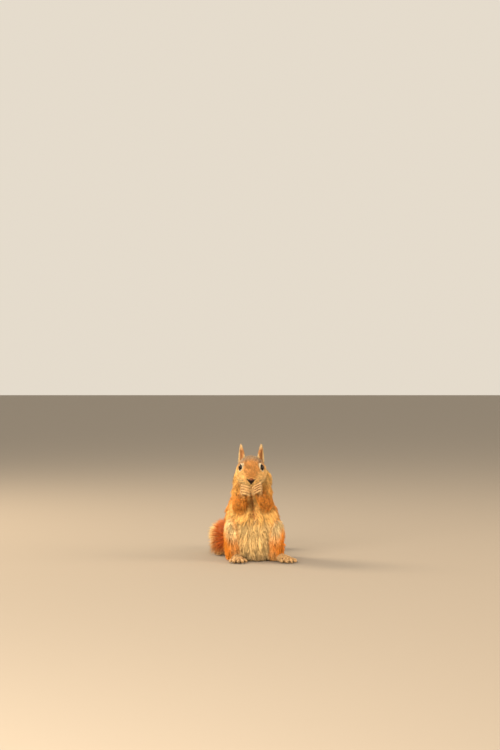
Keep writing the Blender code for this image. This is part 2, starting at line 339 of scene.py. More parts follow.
# %% the coat of each part, and the bones of the tail
DEPTH, LENGTH, WIDTH, BEND, SAG = range(5)  # the columns of the next table
COAT = {
    # depth, hair length and lock width in mm; bend of the hair towards the skin, sag by its weight
    "trunk": (4.6, 14.0, 1.6, 0.45, 0.08),
    "neck": (3.6, 10.0, 1.4, 0.45, 0.06),
    "head": (1.5, 4.4, 0.85, 0.45, 0.0),
    "nose": (0.05, 0.8, 0.4, 0.5, 0.0),
    "ear": (0.15, 2.2, 0.6, 0.3, 0.0),
    "thigh": (4.2, 12.0, 1.5, 0.50, 0.06),
    "shank": (2.4, 8.5, 1.15, 0.45, 0.12),
    "foot": (0.45, 3.0, 0.9, 0.5, 0.0),
    "upper_arm": (2.6, 8.0, 1.25, 0.4, 0.08),
    "forearm": (1.9, 7.0, 1.15, 0.4, 0.12),
    "hand": (0.3, 2.0, 0.8, 0.5, 0.0),
    "tail": (15.0, 28.0, 1.7, 0.25, 0.04),
}
TAIL_BONES = (
    # place along the middle of the tail, radius out to the hair tips, radius of skin, all in mm
    (-4, 33, 14, 12, 8.5),
    (-17, 36, 17, 16, 8.5),
    (-29, 41.5, 20.5, 20, 8),
    (-36.5, 54, 22.5, 22.5, 7.5),
    (-38.5, 73, 24, 24, 7),
    (-34.5, 96, 25.5, 23.5, 6.5),
    (-22, 117, 30, 20.5, 5.5),
    (-7, 132, 37, 13, 4),
)
print("coat", min(row[DEPTH] for row in COAT.values()), "to", COAT["tail"][DEPTH], "mm deep")

# %% the nearest spot on a line, the nearest old corner, and how thick a part is
NEAR_ENOUGH = 0.05 * MM


def line_spots(points, line):
    """The nearest spot to each point on a bent line: its place, and how far along in segments."""
    best, spots, along = np.full(len(points), 1e9), np.zeros_like(points), np.zeros(len(points))
    for number, (start, end) in enumerate(zip(line, line[1:])):
        start, run = np.array(start), np.array(end) - np.array(start)
        t = np.clip((points - start) @ run / (run @ run), 0, 1)
        spot = start + t[:, None] * run
        gap = np.linalg.norm(points - spot, axis=1)
        nearer = gap < best
        best[nearer], spots[nearer], along[nearer] = gap[nearer], spot[nearer], number + t[nearer]
    return spots, along


def thickness(mesh):
    """How far it is from each corner straight through to the other side, or 1 m if it never ends."""
    tree = BVHTree.FromPolygons([v.co for v in mesh.vertices], [p.vertices for p in mesh.polygons])
    through = []
    for point, normal in zip(corners(mesh), normals(mesh)):
        away = Vector(-normal)
        through.append(tree.ray_cast(Vector(point) + away * NEAR_ENOUGH, away)[3] or 1.0)
    return np.array(through)


def carried(points, values, onto):
    """Each new point takes the values of the old point nearest to it."""
    lookup = KDTree(len(points))
    for number, point in enumerate(points):
        lookup.insert(point, number)
    lookup.balance()
    return values[np.array([lookup.find(point)[1] for point in onto])]


def drawn_in(points, share):
    """Moves corners towards the tail's bones, each by its share of the way from hair tips to skin."""
    table = np.array(TAIL_BONES, float)
    spots, along = line_spots(points, table[:, :3] * MM)
    ratio = np.interp(along, range(len(table)), table[:, 4] / table[:, 3])
    return spots + (points - spots) * (1 - share * (1 - ratio))[:, None]


# %% how far each corner sinks
MOST_LOST = 0.33  # share of its own thickness that a part may lose on one side
BACKING = 1.6 * MM  # how far paws and ears sink

outline = BVHTree.FromPolygons([v.co for v in skin.vertices], [p.vertices for p in skin.polygons])
is_tail = np.array([kind == "tail" for kind in kinds])
depth_of = {kind: row[DEPTH] * MM for kind, row in COAT.items()}
depth_of.update({kind: BACKING for kind in FINE_KINDS})
depth_of["tail"] = 0
to_go = np.array([depth_of[kind] for kind in kinds])[owners]
to_go += np.array([0 if kind in FINE_KINDS else GAP_FILL for kind in kinds])[owners]
to_go = evened(np.minimum(to_go, thickness(skin) * MOST_LOST), edges(skin), 25)
tail_share = evened(is_tail[owners].astype(float), edges(skin), 30)
print("apart from the tail, the skin sinks by up to", round(to_go.max() / MM, 1), "mm")

# %% the skin sinks, and the paws and ears are joined on
ROUND_STEP = 1.0 * MM
ROUND_VOXEL = 0.75 * MM
MOVES_IN_A_ROUND = 3
LAST_VOXEL = 0.48 * MM

state = np.column_stack([to_go, owners])  # what each corner hands on to the next mesh
put_corners(skin, drawn_in(corners(skin), tail_share))
while True:
    before = corners(skin)
    skin = evaluated(skin, "REMESH", mode="VOXEL", voxel_size=ROUND_VOXEL)
    state = carried(before, state, corners(skin))
    if state[:, 0].max() < NEAR_ENOUGH:
        break
    step = np.minimum(evened(state[:, 0], edges(skin), 4), ROUND_STEP)
    for _ in range(MOVES_IN_A_ROUND):
        moved = corners(skin) - normals(skin) * (step / MOVES_IN_A_ROUND)[:, None]
        relaxed = evened(moved, edges(skin), 1, 1.0)
        put_corners(skin, moved + (relaxed - moved) * (step / ROUND_STEP * 0.5)[:, None])
    state[:, 0] = np.maximum(state[:, 0] - ROUND_STEP, 0)
before = corners(skin)
together = bmesh.new()
together.from_mesh(skin)
for node in flesh:
    if kind_of(node) in FINE_KINDS:
        together.from_mesh(merged_copy(node, -COAT[kind_of(node)][DEPTH] * MM))
skin = evaluated(as_mesh(together, "skin"), "REMESH", mode="VOXEL", voxel_size=LAST_VOXEL)
owners = carried(before, state[:, 1], corners(skin)).astype(int)
skin_size = [round(float(value) / MM) for value in np.ptp(corners(skin), axis=0)]
print("skin of", len(skin.polygons), "faces in a box of", skin_size, "mm")

# %% [markdown]
# ## Few faces on the broad parts, many on the face, the ears and the paws
#
# An even mesh fine enough for eyelids would waste most of its faces on the back. The Decimate
# modifier thins a mesh where a vertex group lets it, so the face, the ears and the paws keep every
# triangle. Round the eyes and on the muzzle the edges are then halved, for lids, nostrils and lips.

# %% thin the broad parts, and make the face finer
SIDES = ("right", "left")
FACE_LENGTH = 33 * MM
CHIN_HEIGHT = 98 * MM
SHARE_KEPT = 0.13  # of the faces on the broad parts
AROUND_EYE = 7.5 * MM
AROUND_NOSE = 9.5 * MM
eye_places = {}
for side in SIDES:
    eye_low, eye_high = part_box(f"eye_{side}")
    eye_places[side] = (eye_low + eye_high) / 2
EYE_RADIUS = (eye_high.z - eye_low.z) / 2
HEAD_X = (eye_places["left"].x + eye_places["right"].x) / 2
nose_low, nose_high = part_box("nose")
nose_place = (nose_low + nose_high) / 2


def thinned(mesh, keep, share):
    """The mesh with all the faces whose corners are in keep, and about that share of the others."""
    item = bpy.data.objects.new("being thinned", mesh)
    scene.collection.objects.link(item)
    item.vertex_groups.new(name="keep").add(np.nonzero(keep)[0].tolist(), 1.0, "REPLACE")
    thin = item.modifiers.new("thin", "DECIMATE")
    thin.ratio = keep.mean() + (1 - keep.mean()) * share
    thin.vertex_group = "keep"
    thin.invert_vertex_group = True
    thin.vertex_group_factor = 100
    made = bpy.data.meshes.new_from_object(item.evaluated_get(bpy.context.evaluated_depsgraph_get()))
    bpy.data.objects.remove(item)
    return made


def finer(mesh, near):
    """Halves the edges whose ends are both near."""
    shape = bmesh.new()
    shape.from_mesh(mesh)
    chosen = [edge for edge in shape.edges if all(near(vertex.co) for vertex in edge.verts)]
    bmesh.ops.subdivide_edges(shape, edges=chosen, cuts=1, use_grid_fill=True)
    bmesh.ops.triangulate(shape, faces=shape.faces)
    return as_mesh(shape, mesh.name)


def on_the_face(point):
    by_eye = min((point - place).length for place in eye_places.values()) < AROUND_EYE
    return by_eye or (point - nose_place).length < AROUND_NOSE


before = corners(skin)
face = (before[:, 1] < nose_place.y + FACE_LENGTH) & (before[:, 2] > CHIN_HEIGHT)
fine = face | np.isin(np.array(kinds)[owners], FINE_KINDS)
skin = finer(thinned(skin, fine, SHARE_KEPT), on_the_face)
owners = carried(before, owners, corners(skin))
pairs = edges(skin)
print("skin of", len(skin.polygons), "triangles, eyes", round(EYE_RADIUS * 2 / MM, 1), "mm across")

# %% [markdown]
# ## Eyelids, nostrils, lips and the parting of the chest
#
# A squirrel's eye is large, bulges from the side of the head and is rimmed by a thin dark lid.
# Sculpting by hand would do it, but a rule is easier to check: seen from the middle of the
# eyeball, every nearby corner of the skin is given its distance. Inside the opening it hides within
# the ball, at the rim it stands half a millimetre proud of it, and further out it is left alone.
# Nostrils, the V below the nose, the lips and the parting of the chest are grooves: corners near a
# point or a line are pressed in.

# %% lids
LID_HALF_HEIGHT = math.radians(60)  # as seen from the middle of the eyeball
LID_HALF_LENGTH = math.radians(61)
LID_PROUD = 0.5 * MM


def eye_axes(side):
    """Unit vectors out of the eye, forwards along the lids and up across them."""
    sign = 1 if side == "left" else -1
    out = Vector((0.91 * sign, -0.36, 0.2)).normalized()
    up = (Vector((0, -0.12, 1)) - out * out.dot(Vector((0, -0.12, 1)))).normalized()
    return np.array(out), np.array(up.cross(out) * sign), np.array(up)


def lid_share(points, side):
    """0 straight out of the eye, 1 at the edge of its lids and more beyond it."""
    out, forward, up = eye_axes(side)
    towards = unit(points - np.array(eye_places[side]))
    angle = np.arccos(np.clip(towards @ out, -1, 1))
    along, across = towards @ forward, towards @ up
    size = np.maximum(np.hypot(along, across), 1e-9)
    corner = 1 - 0.12 * np.abs(along / size) ** 3  # the lids meet in a slight point
    return angle * np.hypot(along / size / LID_HALF_LENGTH, across / size / LID_HALF_HEIGHT) * corner


def set_lids(points, side):
    place = np.array(eye_places[side])
    distance = np.linalg.norm(points - place, axis=1)
    share = lid_share(points, side)
    hidden, rim = EYE_RADIUS - 0.9 * MM, EYE_RADIUS + LID_PROUD
    close = hidden + (rim - hidden) * smooth_step(share, 0.88, 1.04)
    leave = smooth_step(share, 1.10, 1.40)
    wanted = close * (1 - leave) + np.maximum(distance, EYE_RADIUS + 0.35 * MM) * leave
    near = (distance < EYE_RADIUS * 1.9)[:, None]
    return np.where(near, place + unit(points - place) * wanted[:, None], points)


points = corners(skin)
for side in SIDES:
    points = set_lids(points, side)
print("lids set at", round((EYE_RADIUS + LID_PROUD) / MM, 2), "mm from the middle of each eye")

# %% nostrils, lips and the parting of the chest
NOSTRIL = (1.75, -1.9, 0.1)  # in mm from the middle of the nose, as the next two lines are
LIPS = ((0, -1.6, -4.2), (0, -0.8, -5.6), (3.6, 1.2, -6.8), (6.0, 4.6, -7.2))
WING = ((0, -1.6, -4.3), (2.8, -0.8, -3.1), (5.0, 2.0, -0.8))
PARTING = ((0.9, -38, 56.5), (-3.4, -24, 88.5))  # its two ends, in mm
PARTING_DEPTH = 1.2 * MM
CLEAR_OF_FLOOR = 0.3 * MM


def line_distance(points, line):
    return np.linalg.norm(points - line_spots(points, line)[0], axis=1)


def pressed(points, distance, width, depth, way):
    """Moves the points by depth where their distance is 0, and less and less beyond width."""
    return points + np.array(way) * (depth * np.exp(-((distance / width) ** 2)))[:, None]


def by_nose(offset, sign=1):
    """A place given in mm from the middle of the nose, on the left side, or with -1 on the right."""
    return nose + np.array(offset) * MM * (sign, 1, 1)


nose = np.array(nose_place)
for sign in (1, -1):
    gap = np.linalg.norm(points - by_nose(NOSTRIL, sign), axis=1)
    points = pressed(points, gap, 0.75 * MM, 1.3 * MM, (-0.35 * sign, 1, 0.1))
    gap = line_distance(points, [by_nose(offset, sign) for offset in LIPS])
    points = pressed(points, gap, 0.6 * MM, 0.5 * MM, (-0.4 * sign, 0.8, 0.3))
    gap = line_distance(points, [by_nose(offset, sign) for offset in WING])
    points = pressed(points, gap, 0.7 * MM, 0.8 * MM, (0, 0.9, 0.3))
low_end, high_end = np.array(PARTING) * MM
chest = (points[:, 1] < 0) * smooth_step(points[:, 2], low_end[2] - 6 * MM, low_end[2] + 2 * MM)
chest *= 1 - smooth_step(points[:, 2], high_end[2], high_end[2] + 8 * MM)
parting_x = np.interp(points[:, 2], (low_end[2], high_end[2]), (low_end[0], high_end[0]))
off_parting = points[:, 0] - parting_x
points = pressed(points, off_parting, 1.5 * MM, PARTING_DEPTH * chest, (0, 1, 0))
points[:, 2] = np.maximum(points[:, 2], CLEAR_OF_FLOOR)
put_corners(skin, points)
depths = np.array([outline.find_nearest(point)[3] for point in points])
print("skin up to", round(depths.max() / MM, 1), "mm below the outline")

# %% [markdown]
# ## The lie of the coat
#
# Hair grows backwards from the nose, down the neck and trunk, down each leg to its toes and along
# the tail. Each part has its own rule for this, and the rules are mixed by how much of each part a
# corner belongs to. Only the share along the skin counts. A hair leaves the skin steeply enough
# for its tip to reach the outline, so its slope comes from the coat's depth and the hair's length.
# Round the eyes and the nose, which a long coat would hide, the hair is shorter.

# %% how much of each body part


def amounts(chosen, rounds=18):
    """1 on the chosen corners and 0 elsewhere, evened out across the border."""
    return evened(chosen.astype(float), pairs, rounds)


kind_at = np.array(kinds)[owners]
parts = {kind: amounts(kind_at == kind) for kind in COAT}
outward = normals(skin)
away_x = points[:, 0] - HEAD_X
side_of = np.sign(away_x)
from_eye = {side: points - np.array(eye_places[side]) for side in SIDES}
off_eye = {side: np.linalg.norm(from_eye[side], axis=1) for side in SIDES}
print("corners of each part:", {kind: round(share.sum()) for kind, share in parts.items()})

# %% the middles of solids, and the circle that the tail bends round


def middle_of(node):
    low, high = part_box(node)
    return (np.array(low) + np.array(high)) / 2


def circle_middle(a, b, c):
    """The middle of the circle through three points, seen from above."""
    rows = 2 * np.array([b[:2] - a[:2], c[:2] - a[:2]])
    return np.linalg.solve(rows, [b[:2] @ b[:2] - a[:2] @ a[:2], c[:2] @ c[:2] - a[:2] @ a[:2]])


tail_hub = circle_middle(*(middle_of(node) for node in ("tail_root", "tail_middle", "tail_tip")))
spoke = points[:, :2] - tail_hub
tail_radius = np.linalg.norm(middle_of("tail_middle")[:2] - tail_hub)
print("the tail bends at a radius of", round(tail_radius / MM), "mm")

# %% which way the hair lies


def stacked(x, y, z):
    """One vector for each corner, from three numbers or arrays."""
    return np.stack([np.broadcast_to(value, len(points)) for value in (x, y, z)], axis=1).astype(float)


FOOT_TURN = {"right": math.radians(4), "left": math.radians(30)}
foot_turn = np.where(points[:, 0] > 0, FOOT_TURN["left"], FOOT_TURN["right"])
# Beside the body, the tail's hair that faces forwards hangs down.
hanging = smooth_step(-outward[:, 1], 0.1, 0.6) * (1 - smooth_step(points[:, 1], 45 * MM, 65 * MM)) * 2.0
lies = {
    "trunk": stacked(side_of * 0.12, 0.10, -1),
    "neck": stacked(side_of * 0.2, 0.35, -1),
    "head": unit(points - nose) + stacked(0, 0.5, 0),
    "nose": stacked(0, 0.6, 0.8),
    "ear": stacked(0, 0.1, 1),
    "thigh": stacked(0, -0.12, -1),
    "shank": stacked(0, -0.35, -1),
    "foot": stacked(np.sin(foot_turn), -np.cos(foot_turn), -0.1),
    "upper_arm": stacked(0, -0.55, -0.8),
    "forearm": stacked(-side_of * 0.15, -0.8, -0.4),
    "hand": stacked(-side_of * 0.6, -0.7, -0.2),
    "tail": unit(stacked(spoke[:, 1], -spoke[:, 0], 0.0)) + stacked(-0.5, -0.3, -1.0) * hanging[:, None],
}
noise.seed_set(4)  # without this, the noise would differ from run to run
wander = np.array([noise.noise_vector(Vector(point) / (9 * MM)) for point in points])
flow = sum(unit(lies[kind]) * parts[kind][:, None] for kind in COAT) + wander * 0.16
flow += np.outer(chest * np.exp(-((off_parting / (5 * MM)) ** 2)) * np.sign(off_parting) * 0.55, (1, 0, 0))
for side in SIDES:
    near = np.exp(-((lid_share(points, side) / 1.7) ** 4)) * (off_eye[side] < 10 * MM)
    flow += unit(from_eye[side]) * near[:, None] * 1.5
flow = unit(flow - outward * np.sum(flow * outward, axis=1)[:, None])
print("mean way of the hair:", np.round(flow.mean(axis=0), 2))

# %% how long the hair is, and how steeply it leaves the skin


def mixed(column):
    """A column of the coat's table at each corner, mixed by how much of each part it belongs to."""
    return sum(COAT[kind][column] * parts[kind] for kind in COAT)


by_lids = np.zeros(len(points))
for side in SIDES:
    by_lids = np.maximum(by_lids, 1 - smooth_step(off_eye[side] - EYE_RADIUS, 1.0 * MM, 3.5 * MM))
near_nose = np.exp(-((np.linalg.norm(points - nose, axis=1) / (6.5 * MM)) ** 4))
flank = parts["trunk"] * np.exp(-(((points[:, 2] - 82 * MM) / (11 * MM)) ** 2))
unevenness = np.array([noise.noise(Vector(point) / (5 * MM)) for point in points])
length = mixed(LENGTH) * MM
for factor in (1 - 0.5 * by_lids, 1 - 0.6 * near_nose, 1 - 0.35 * flank, 1 + 0.22 * unevenness):
    length = length * factor
slope = np.clip(depths / (length * (1 - mixed(BEND))), 0.12 + 0.16 * parts["head"], 0.82) * 0.94
lie = flow * np.sqrt(1 - slope**2)[:, None] + outward * slope[:, None]
sweep = -outward * (slope * mixed(BEND))[:, None] + stacked(0, 0, -1) * mixed(SAG)[:, None]
across = unit(np.cross(lie, outward))
print("hair", round(length.min() / MM, 1), "to", round(length.max() / MM, 1), "mm long")

# %% [markdown]
# ## The markings
#
# This species has a grizzled grey-brown back, because each hair there is banded, orange flanks and
# legs, pale ochre underparts, a greyer crown, a pale ring round each eye and a rusty tail with pale
# hair tips. Painting by hand would need an image, so the markings are masks worked out from where a
# corner lies on the body, and skin and hair both take their colours from them. A few masks hold
# painted shade or painted shadow instead of markings. First come the masks of the trunk and the
# face.

# %% masks of the trunk and the face


def both_sides(line):
    """How far a line on the face or its mirror image is, as seen from straight in front."""
    flat_line = [point * (1, 0, 1) for point in line]
    mirrored = points * (-1, 0, 1) + (2 * HEAD_X, 0, 0)
    return np.minimum(line_distance(points * (1, 0, 1), flat_line), line_distance(mirrored, flat_line))


x, y, z = points.T
trunk_middle = middle_of("trunk")
turn = np.abs(np.arctan2(x - trunk_middle[0], -(y - trunk_middle[1] - 3 * MM)))
front = 1 - smooth_step(turn, math.radians(48), math.radians(84))
behind = smooth_step(turn, math.radians(88), math.radians(128))
behind = np.maximum(behind, (parts["neck"] + parts["head"]) * smooth_step(outward[:, 1], 0.0, 0.6))
crown = smooth_step(z, 124 * MM, 133 * MM) * smooth_step(y, -33 * MM, -18 * MM)
brow = smooth_step(outward[:, 2], 0.15, 0.6)
ring = np.zeros(len(points))
rim = np.zeros(len(points))
for side in SIDES:
    gap = off_eye[side] - EYE_RADIUS
    ring = np.maximum(ring, 1 - smooth_step(gap, 0.5 * MM, 1.3 * MM))
    rim = np.maximum(rim, (gap < 2 * MM) * (1 - smooth_step(lid_share(points, side), 1.00, 1.13)))
on_muzzle = (1 - smooth_step(y - nose[1], 6 * MM, 9 * MM)) * np.clip(1 - 3 * parts["hand"], 0, 1)
lips = [by_nose(offset) for offset in LIPS]
wing_line = [by_nose(offset) for offset in ((0, 0, -4.1), (2.6, 0, -2.2), (5.2, 0, 0.9))]
nostril_line = [by_nose(offset) for offset in ((1.75, 0, 0.1), (2.7, 0, -0.5))]
lip_mask = on_muzzle * np.exp(-((both_sides(lips) / (0.7 * MM)) ** 2))
lip_mask *= 1 - smooth_step(np.abs(away_x), 1 * MM, 6 * MM)
# the V below the nose: partly the mouth's dark opening, partly painted shadow under the nose
wing_width = np.interp(np.abs(away_x), (0, 5 * MM), (1.8 * MM, 0.9 * MM))
mouth_v_and_shade = on_muzzle * np.exp(-((both_sides(wing_line) / wing_width) ** 3))
nostrils = on_muzzle * np.exp(-((both_sides(nostril_line) / (0.6 * MM)) ** 2))
bare_nose = 1 - smooth_step(np.linalg.norm((points - nose) / (1.5, 1, 1), axis=1), 1.9 * MM, 2.8 * MM)
# painted shadow on the underside of the nose and just below it
shadow_under_nose = bare_nose * smooth_step(nose[2] - z, 0.2 * MM, 1.8 * MM)
shadow_under_nose += on_muzzle * (1 - smooth_step(np.hypot(away_x, z - nose[2] + 2.6 * MM), 1.6 * MM, 2.4 * MM))
bare = np.clip(bare_nose + shadow_under_nose + rim + np.maximum(lip_mask, mouth_v_and_shade), 0, 1)
print("pale ring on", int((ring > 0.5).sum()), "corners, bare skin on", int((bare > 0.5).sum()))

# %% [markdown]
# ## Masks of the limbs, tail and ears
#
# The gaps between fingers and between toes are found by how hollow the skin is there: evening out a
# surface fills its hollows, so a corner in one moves outwards. The dark part, painted shade, is each
# paw's own most hollow share. The other masks follow from heights, directions and how much of a part
# is where.

# %% masks of the limbs, tail and ears
hollow = evened(np.sum((evened(points, pairs, 12) - points) * outward, axis=1), pairs, 2)
# painted shade in the gaps between fingers and toes, where the skin is most hollow
shade_between_toes = np.zeros(len(points))
for kind in ("hand", "foot"):
    shallow, deep = np.quantile(hollow[parts[kind] > 0.5], (0.70, 0.88))
    shade_between_toes += smooth_step(hollow, shallow, deep) * parts[kind]
# painted shade: the parting of the chest is coloured darker, as shade in its groove
parting = chest * np.exp(-((off_parting / (1.3 * MM)) ** 2))
# painted shade in the crease where each thigh meets the belly
thigh_crease_shade = np.clip(4 * parts["thigh"] * parts["trunk"], 0, 1) * smooth_step(-y, 8 * MM, 16 * MM)
outer_side = smooth_step(np.abs(x) - z * 0.15, 24.5 * MM, 30.5 * MM)
knee = parts["thigh"] * smooth_step(-y, 2 * MM, 14 * MM) * (1 - outer_side) * smooth_step(z, 18 * MM, 46 * MM)
ankle = parts["shank"] * (1 - outer_side) * 0.3
body = parts["trunk"] + parts["neck"]

# The tail is pale along both sides, behind the body, and all along below. Elsewhere its hair is
# rusty and turns pale only near the tip, which is what late says.
tail_side = smooth_step(np.abs(np.sum(unit(spoke) * outward[:, :2], axis=1)), 0.3, 0.8)
tail_side *= smooth_step(y, 32 * MM, 68 * MM)
tail_side = np.maximum(tail_side, 1 - smooth_step(z, 12 * MM, 26 * MM))
late = parts["tail"] * (1 - 0.7 * tail_side)

# An ear is a leaf whose outer edge lies behind and whose opening faces outwards and forwards.
ear_edge, ear_inside, ear_shade = np.zeros((3, len(points)))
for side, sign in (("right", -1), ("left", 1)):
    own = parts["ear"] * (np.sign(away_x) == sign)
    off_middle = (points - middle_of(f"ear_{side}")) @ np.array((0.60 * sign, 0.80, 0.0))
    back_edge = smooth_step(off_middle, 2.0 * MM, 3.8 * MM)
    front_edge = smooth_step(-off_middle, 4.4 * MM, 5.6 * MM)
    ear_edge += own * np.maximum(back_edge, front_edge)
    ear_inside += own * smooth_step(outward @ np.array((0.80 * sign, -0.60, 0.0)), 0.1, 0.5)
    # painted shade along the hollow inside each ear
    ear_shade += own * np.exp(-(((off_middle - 0.2 * MM) / (1.6 * MM)) ** 2)) * (z < 146 * MM)
ear_shade *= ear_inside
ear_tip = parts["ear"] * smooth_step(z, 144 * MM, 151 * MM)
shoulder = parts["upper_arm"] * smooth_step(z, 80 * MM, 96 * MM)
print("dark between fingers and toes on", int((shade_between_toes > 0.5).sum()), "corners")

# %% [markdown]
# ## Colours of the hair and of the skin
#
# A painter lays one colour over another, and so does this: the tips of the hair start as the brown
# of the back, and each row of the table lays its colour over what is there, as far as its mask
# goes. A few rows lay painted shade instead: where thigh meets belly, in the parting of the chest,
# in the ear hollows and low on the belly. Roots are a darker and redder tone of the tips. Skin is
# darker still, brown on the nose and nearly black at the lids, nostrils and lips, with painted
# shadow under the nose and, partly, in the V of the mouth, and painted shade between fingers and
# toes. The last two values say where hair is ticked with dark bands and how thickly locks stand.

# %% colours of the tips, the roots and the skin
BACK_BROWN = "#B8935F"


def laid_over(under, tone, mask):
    """A colour laid over the colours under it, as far as the mask goes."""
    return under + (colour(tone) - under) * np.clip(mask, 0, 1)[:, None]


TIP_COLOURS = (
    # what is coloured, the colour of the hair tips, the mask
    ("flanks", "#F0A446", body * (1 - behind)),
    ("belly", "#F4D393", body * front),
    ("chest", "#FFCC76", chest * front * 0.9),
    # painted shade: the lowest part of the belly is darkened, as shade falls there near the floor
    ("painted shade at the foot of the belly", "#C8AA80", body * front * (1 - smooth_step(z, 5 * MM, 24 * MM)) * 0.8),
    ("neck", "#FCCC7A", parts["neck"] * (1 - behind)),
    ("legs", "#F0962C", (parts["thigh"] + parts["shank"]) * (1 - behind * 0.6)),
    ("knees and ankles", "#FFE4AA", knee + ankle),
    # painted shade in the crease where thigh meets belly
    ("painted shade in the groin", "#DE9A48", thigh_crease_shade * 0.55),
    ("arms", "#E69A42", parts["upper_arm"] + parts["forearm"]),
    ("shoulders", "#F9C068", shoulder),
    ("cheeks", "#FACD82", parts["head"] + parts["nose"]),
    ("brow", "#D99B54", parts["head"] * brow),
    ("crown", "#B5A08C", parts["head"] * crown),
    ("chin and throat", "#F8D690", parts["head"] * smooth_step(-outward[:, 2], 0.1, 0.7)),
    ("ears", "#C48E54", parts["ear"]),
    ("insides of the ears", "#C48A54", ear_inside),
    # painted shade inside each ear
    ("painted shade in the hollows of the ears", "#94603A", ear_shade * 0.8),
    ("edges of the ears", "#DFC592", np.maximum(ear_edge, ear_tip * 0.8)),
    ("feet", "#E0BA84", parts["foot"]),
    ("hands", "#DCB47C", parts["hand"]),
    ("tail", "#CA7A34", parts["tail"]),
    ("sides of the tail", "#F3D590", parts["tail"] * tail_side),
    ("rings round the eyes", "#FFF0CE", ring),
    # painted shade in the groove of the chest's parting
    ("parting of the chest", "#94541E", parting),
)
tips = np.tile(colour(BACK_BROWN), (len(points), 1))
for _, tone, mask in TIP_COLOURS:
    tips = laid_over(tips, tone, mask)
pale_front = np.clip(body * front + knee + chest, 0, 2)
furry = (1 - parts["ear"] - parts["foot"] - parts["hand"]) * (1 - 0.3 * pale_front)
shaded_root = 1 - np.outer(furry, (0.32, 0.42, 0.52))
roots = tips * np.clip(shaded_root, 0, 1)
roots = laid_over(roots, "#B8561C", parts["tail"] * (1 - 0.5 * tail_side))
flesh_tone = laid_over(tips * 0.62 + roots * 0.25, "#6E3C18", bare_nose)
# painted shade between fingers and toes
flesh_tone = laid_over(flesh_tone, "#5C3014", shade_between_toes)
# dark lips and nostrils, with painted shadow under the nose and, partly, in the V of the mouth
dark_skin_and_shadow = lip_mask * 0.8 + mouth_v_and_shade * 1.2 + shadow_under_nose + nostrils
flesh_tone = laid_over(flesh_tone, "#170603", dark_skin_and_shadow)
flesh_tone = laid_over(flesh_tone, "#120806", rim)
ticked = np.clip(body * behind + parts["head"] * crown * 0.6 + parts["thigh"] * behind * 0.5, 0, 1)
thick = (1 - smooth_step(bare, 0.4, 0.75)) * (1 - smooth_step(rim, 0.2, 0.6)) * (1 - shade_between_toes)
thick *= 1 - smooth_step(0.8 * MM - z, -0.2 * MM, 0.4 * MM) * 0.9
thick *= 1 - 0.85 * parting
print("corners by colour:", {what: int((mask > 0.5).sum()) for what, _, mask in TIP_COLOURS})

# %% [markdown]
# ## Skin: thin hide under the hair
#
# Where the hair parts, what shows is hide covered in fine underfur, dull and slightly mottled. The
# nose, the lids and the lips are bare, darker and damp, so they are smoother. One material covers
# both: the values on the skin's corners say how bare it is.

# %% the skin's material and piece
STORAGE = {
    # numbers at each corner, with the type of attribute and the name of its field
    1: ("FLOAT", "value"),
    2: ("FLOAT2", "vector"),
    3: ("FLOAT_VECTOR", "vector"),
    4: ("FLOAT_COLOR", "color"),
}


def put_values(mesh, name, values):
    """Stores a value, a pair, a vector or a colour on each corner of the mesh."""
    kind, field = STORAGE[1 if values.ndim == 1 else values.shape[1]]
    mesh.attributes.new(name, kind, "POINT").data.foreach_set(field, values.astype(np.float32).ravel())


def with_alpha(tone):
    return np.concatenate([np.clip(tone, 0, 1), np.ones((len(tone), 1))], axis=1)


def hide_with_underfur():
    """Hide with fine underfur: dull, mottled at 1.5 mm, roughened by hairs about 0.2 mm apart."""
    made, tree, shader = new_material("hide with underfur", {"Specular IOR Level": 0.25})
    place = add(tree, "ShaderNodeTexCoord").outputs["Object"]
    tone = add(tree, "ShaderNodeAttribute", attribute_name="tone").outputs["Color"]
    bare_skin = add(tree, "ShaderNodeAttribute", attribute_name="bare").outputs["Fac"]
    mottle = add(tree, "ShaderNodeTexNoise", {"Vector": place, "Scale": 1 / (1.5 * MM), "Detail": 4.0})
    strength = add(tree, "ShaderNodeMapRange", {0: mottle.outputs["Fac"], 3: 0.72, 4: 1.2})
    shaded = add(tree, "ShaderNodeHueSaturation", {"Color": tone, "Value": strength.outputs[0]})
    tree.links.new(shaded.outputs[0], shader.inputs["Base Color"])
    rough = add(tree, "ShaderNodeMapRange", {0: bare_skin, 3: 0.85, 4: 0.58})
    tree.links.new(rough.outputs[0], shader.inputs["Roughness"])
    down = add(tree, "ShaderNodeTexNoise", {"Vector": place, "Scale": 1 / (0.2 * MM), "Detail": 3.0})
    inputs = {"Height": down.outputs["Fac"], "Strength": 0.5, "Distance": 0.15 * MM}
    bump = add(tree, "ShaderNodeBump", inputs)
    tree.links.new(bump.outputs[0], shader.inputs["Normal"])
    return made


def finished(name, mesh, material, slot, *nodes):
    """A piece in the scene, riding on the body and standing for those nodes."""
    if material.name not in mesh.materials:
        mesh.materials.clear()
        mesh.materials.append(material)
    piece = bpy.data.objects.new(name, mesh)
    scene.collection.objects.link(piece)
    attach(piece, "root")
    if nodes:
        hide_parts(*nodes)


worn = skin.copy()
put_values(worn, "tone", with_alpha(flesh_tone))
put_values(worn, "bare", bare)
worn.shade_smooth()
finished("skin", worn, hide_with_underfur(), "coat_orange", *flesh)
print("skin:", len(worn.polygons), "triangles")

# %% [markdown]
# ## Eyes
#
# The eye is a wet ball, nearly all iris and pupil: almost black from a step away, dark brown close
# to. A ball whose colour depends on the angle from its own axis gives the pupil, the iris and the
# dark rim round it, and a thin clear coat over it stands for the cornea and the tear film.

# %% eyeballs


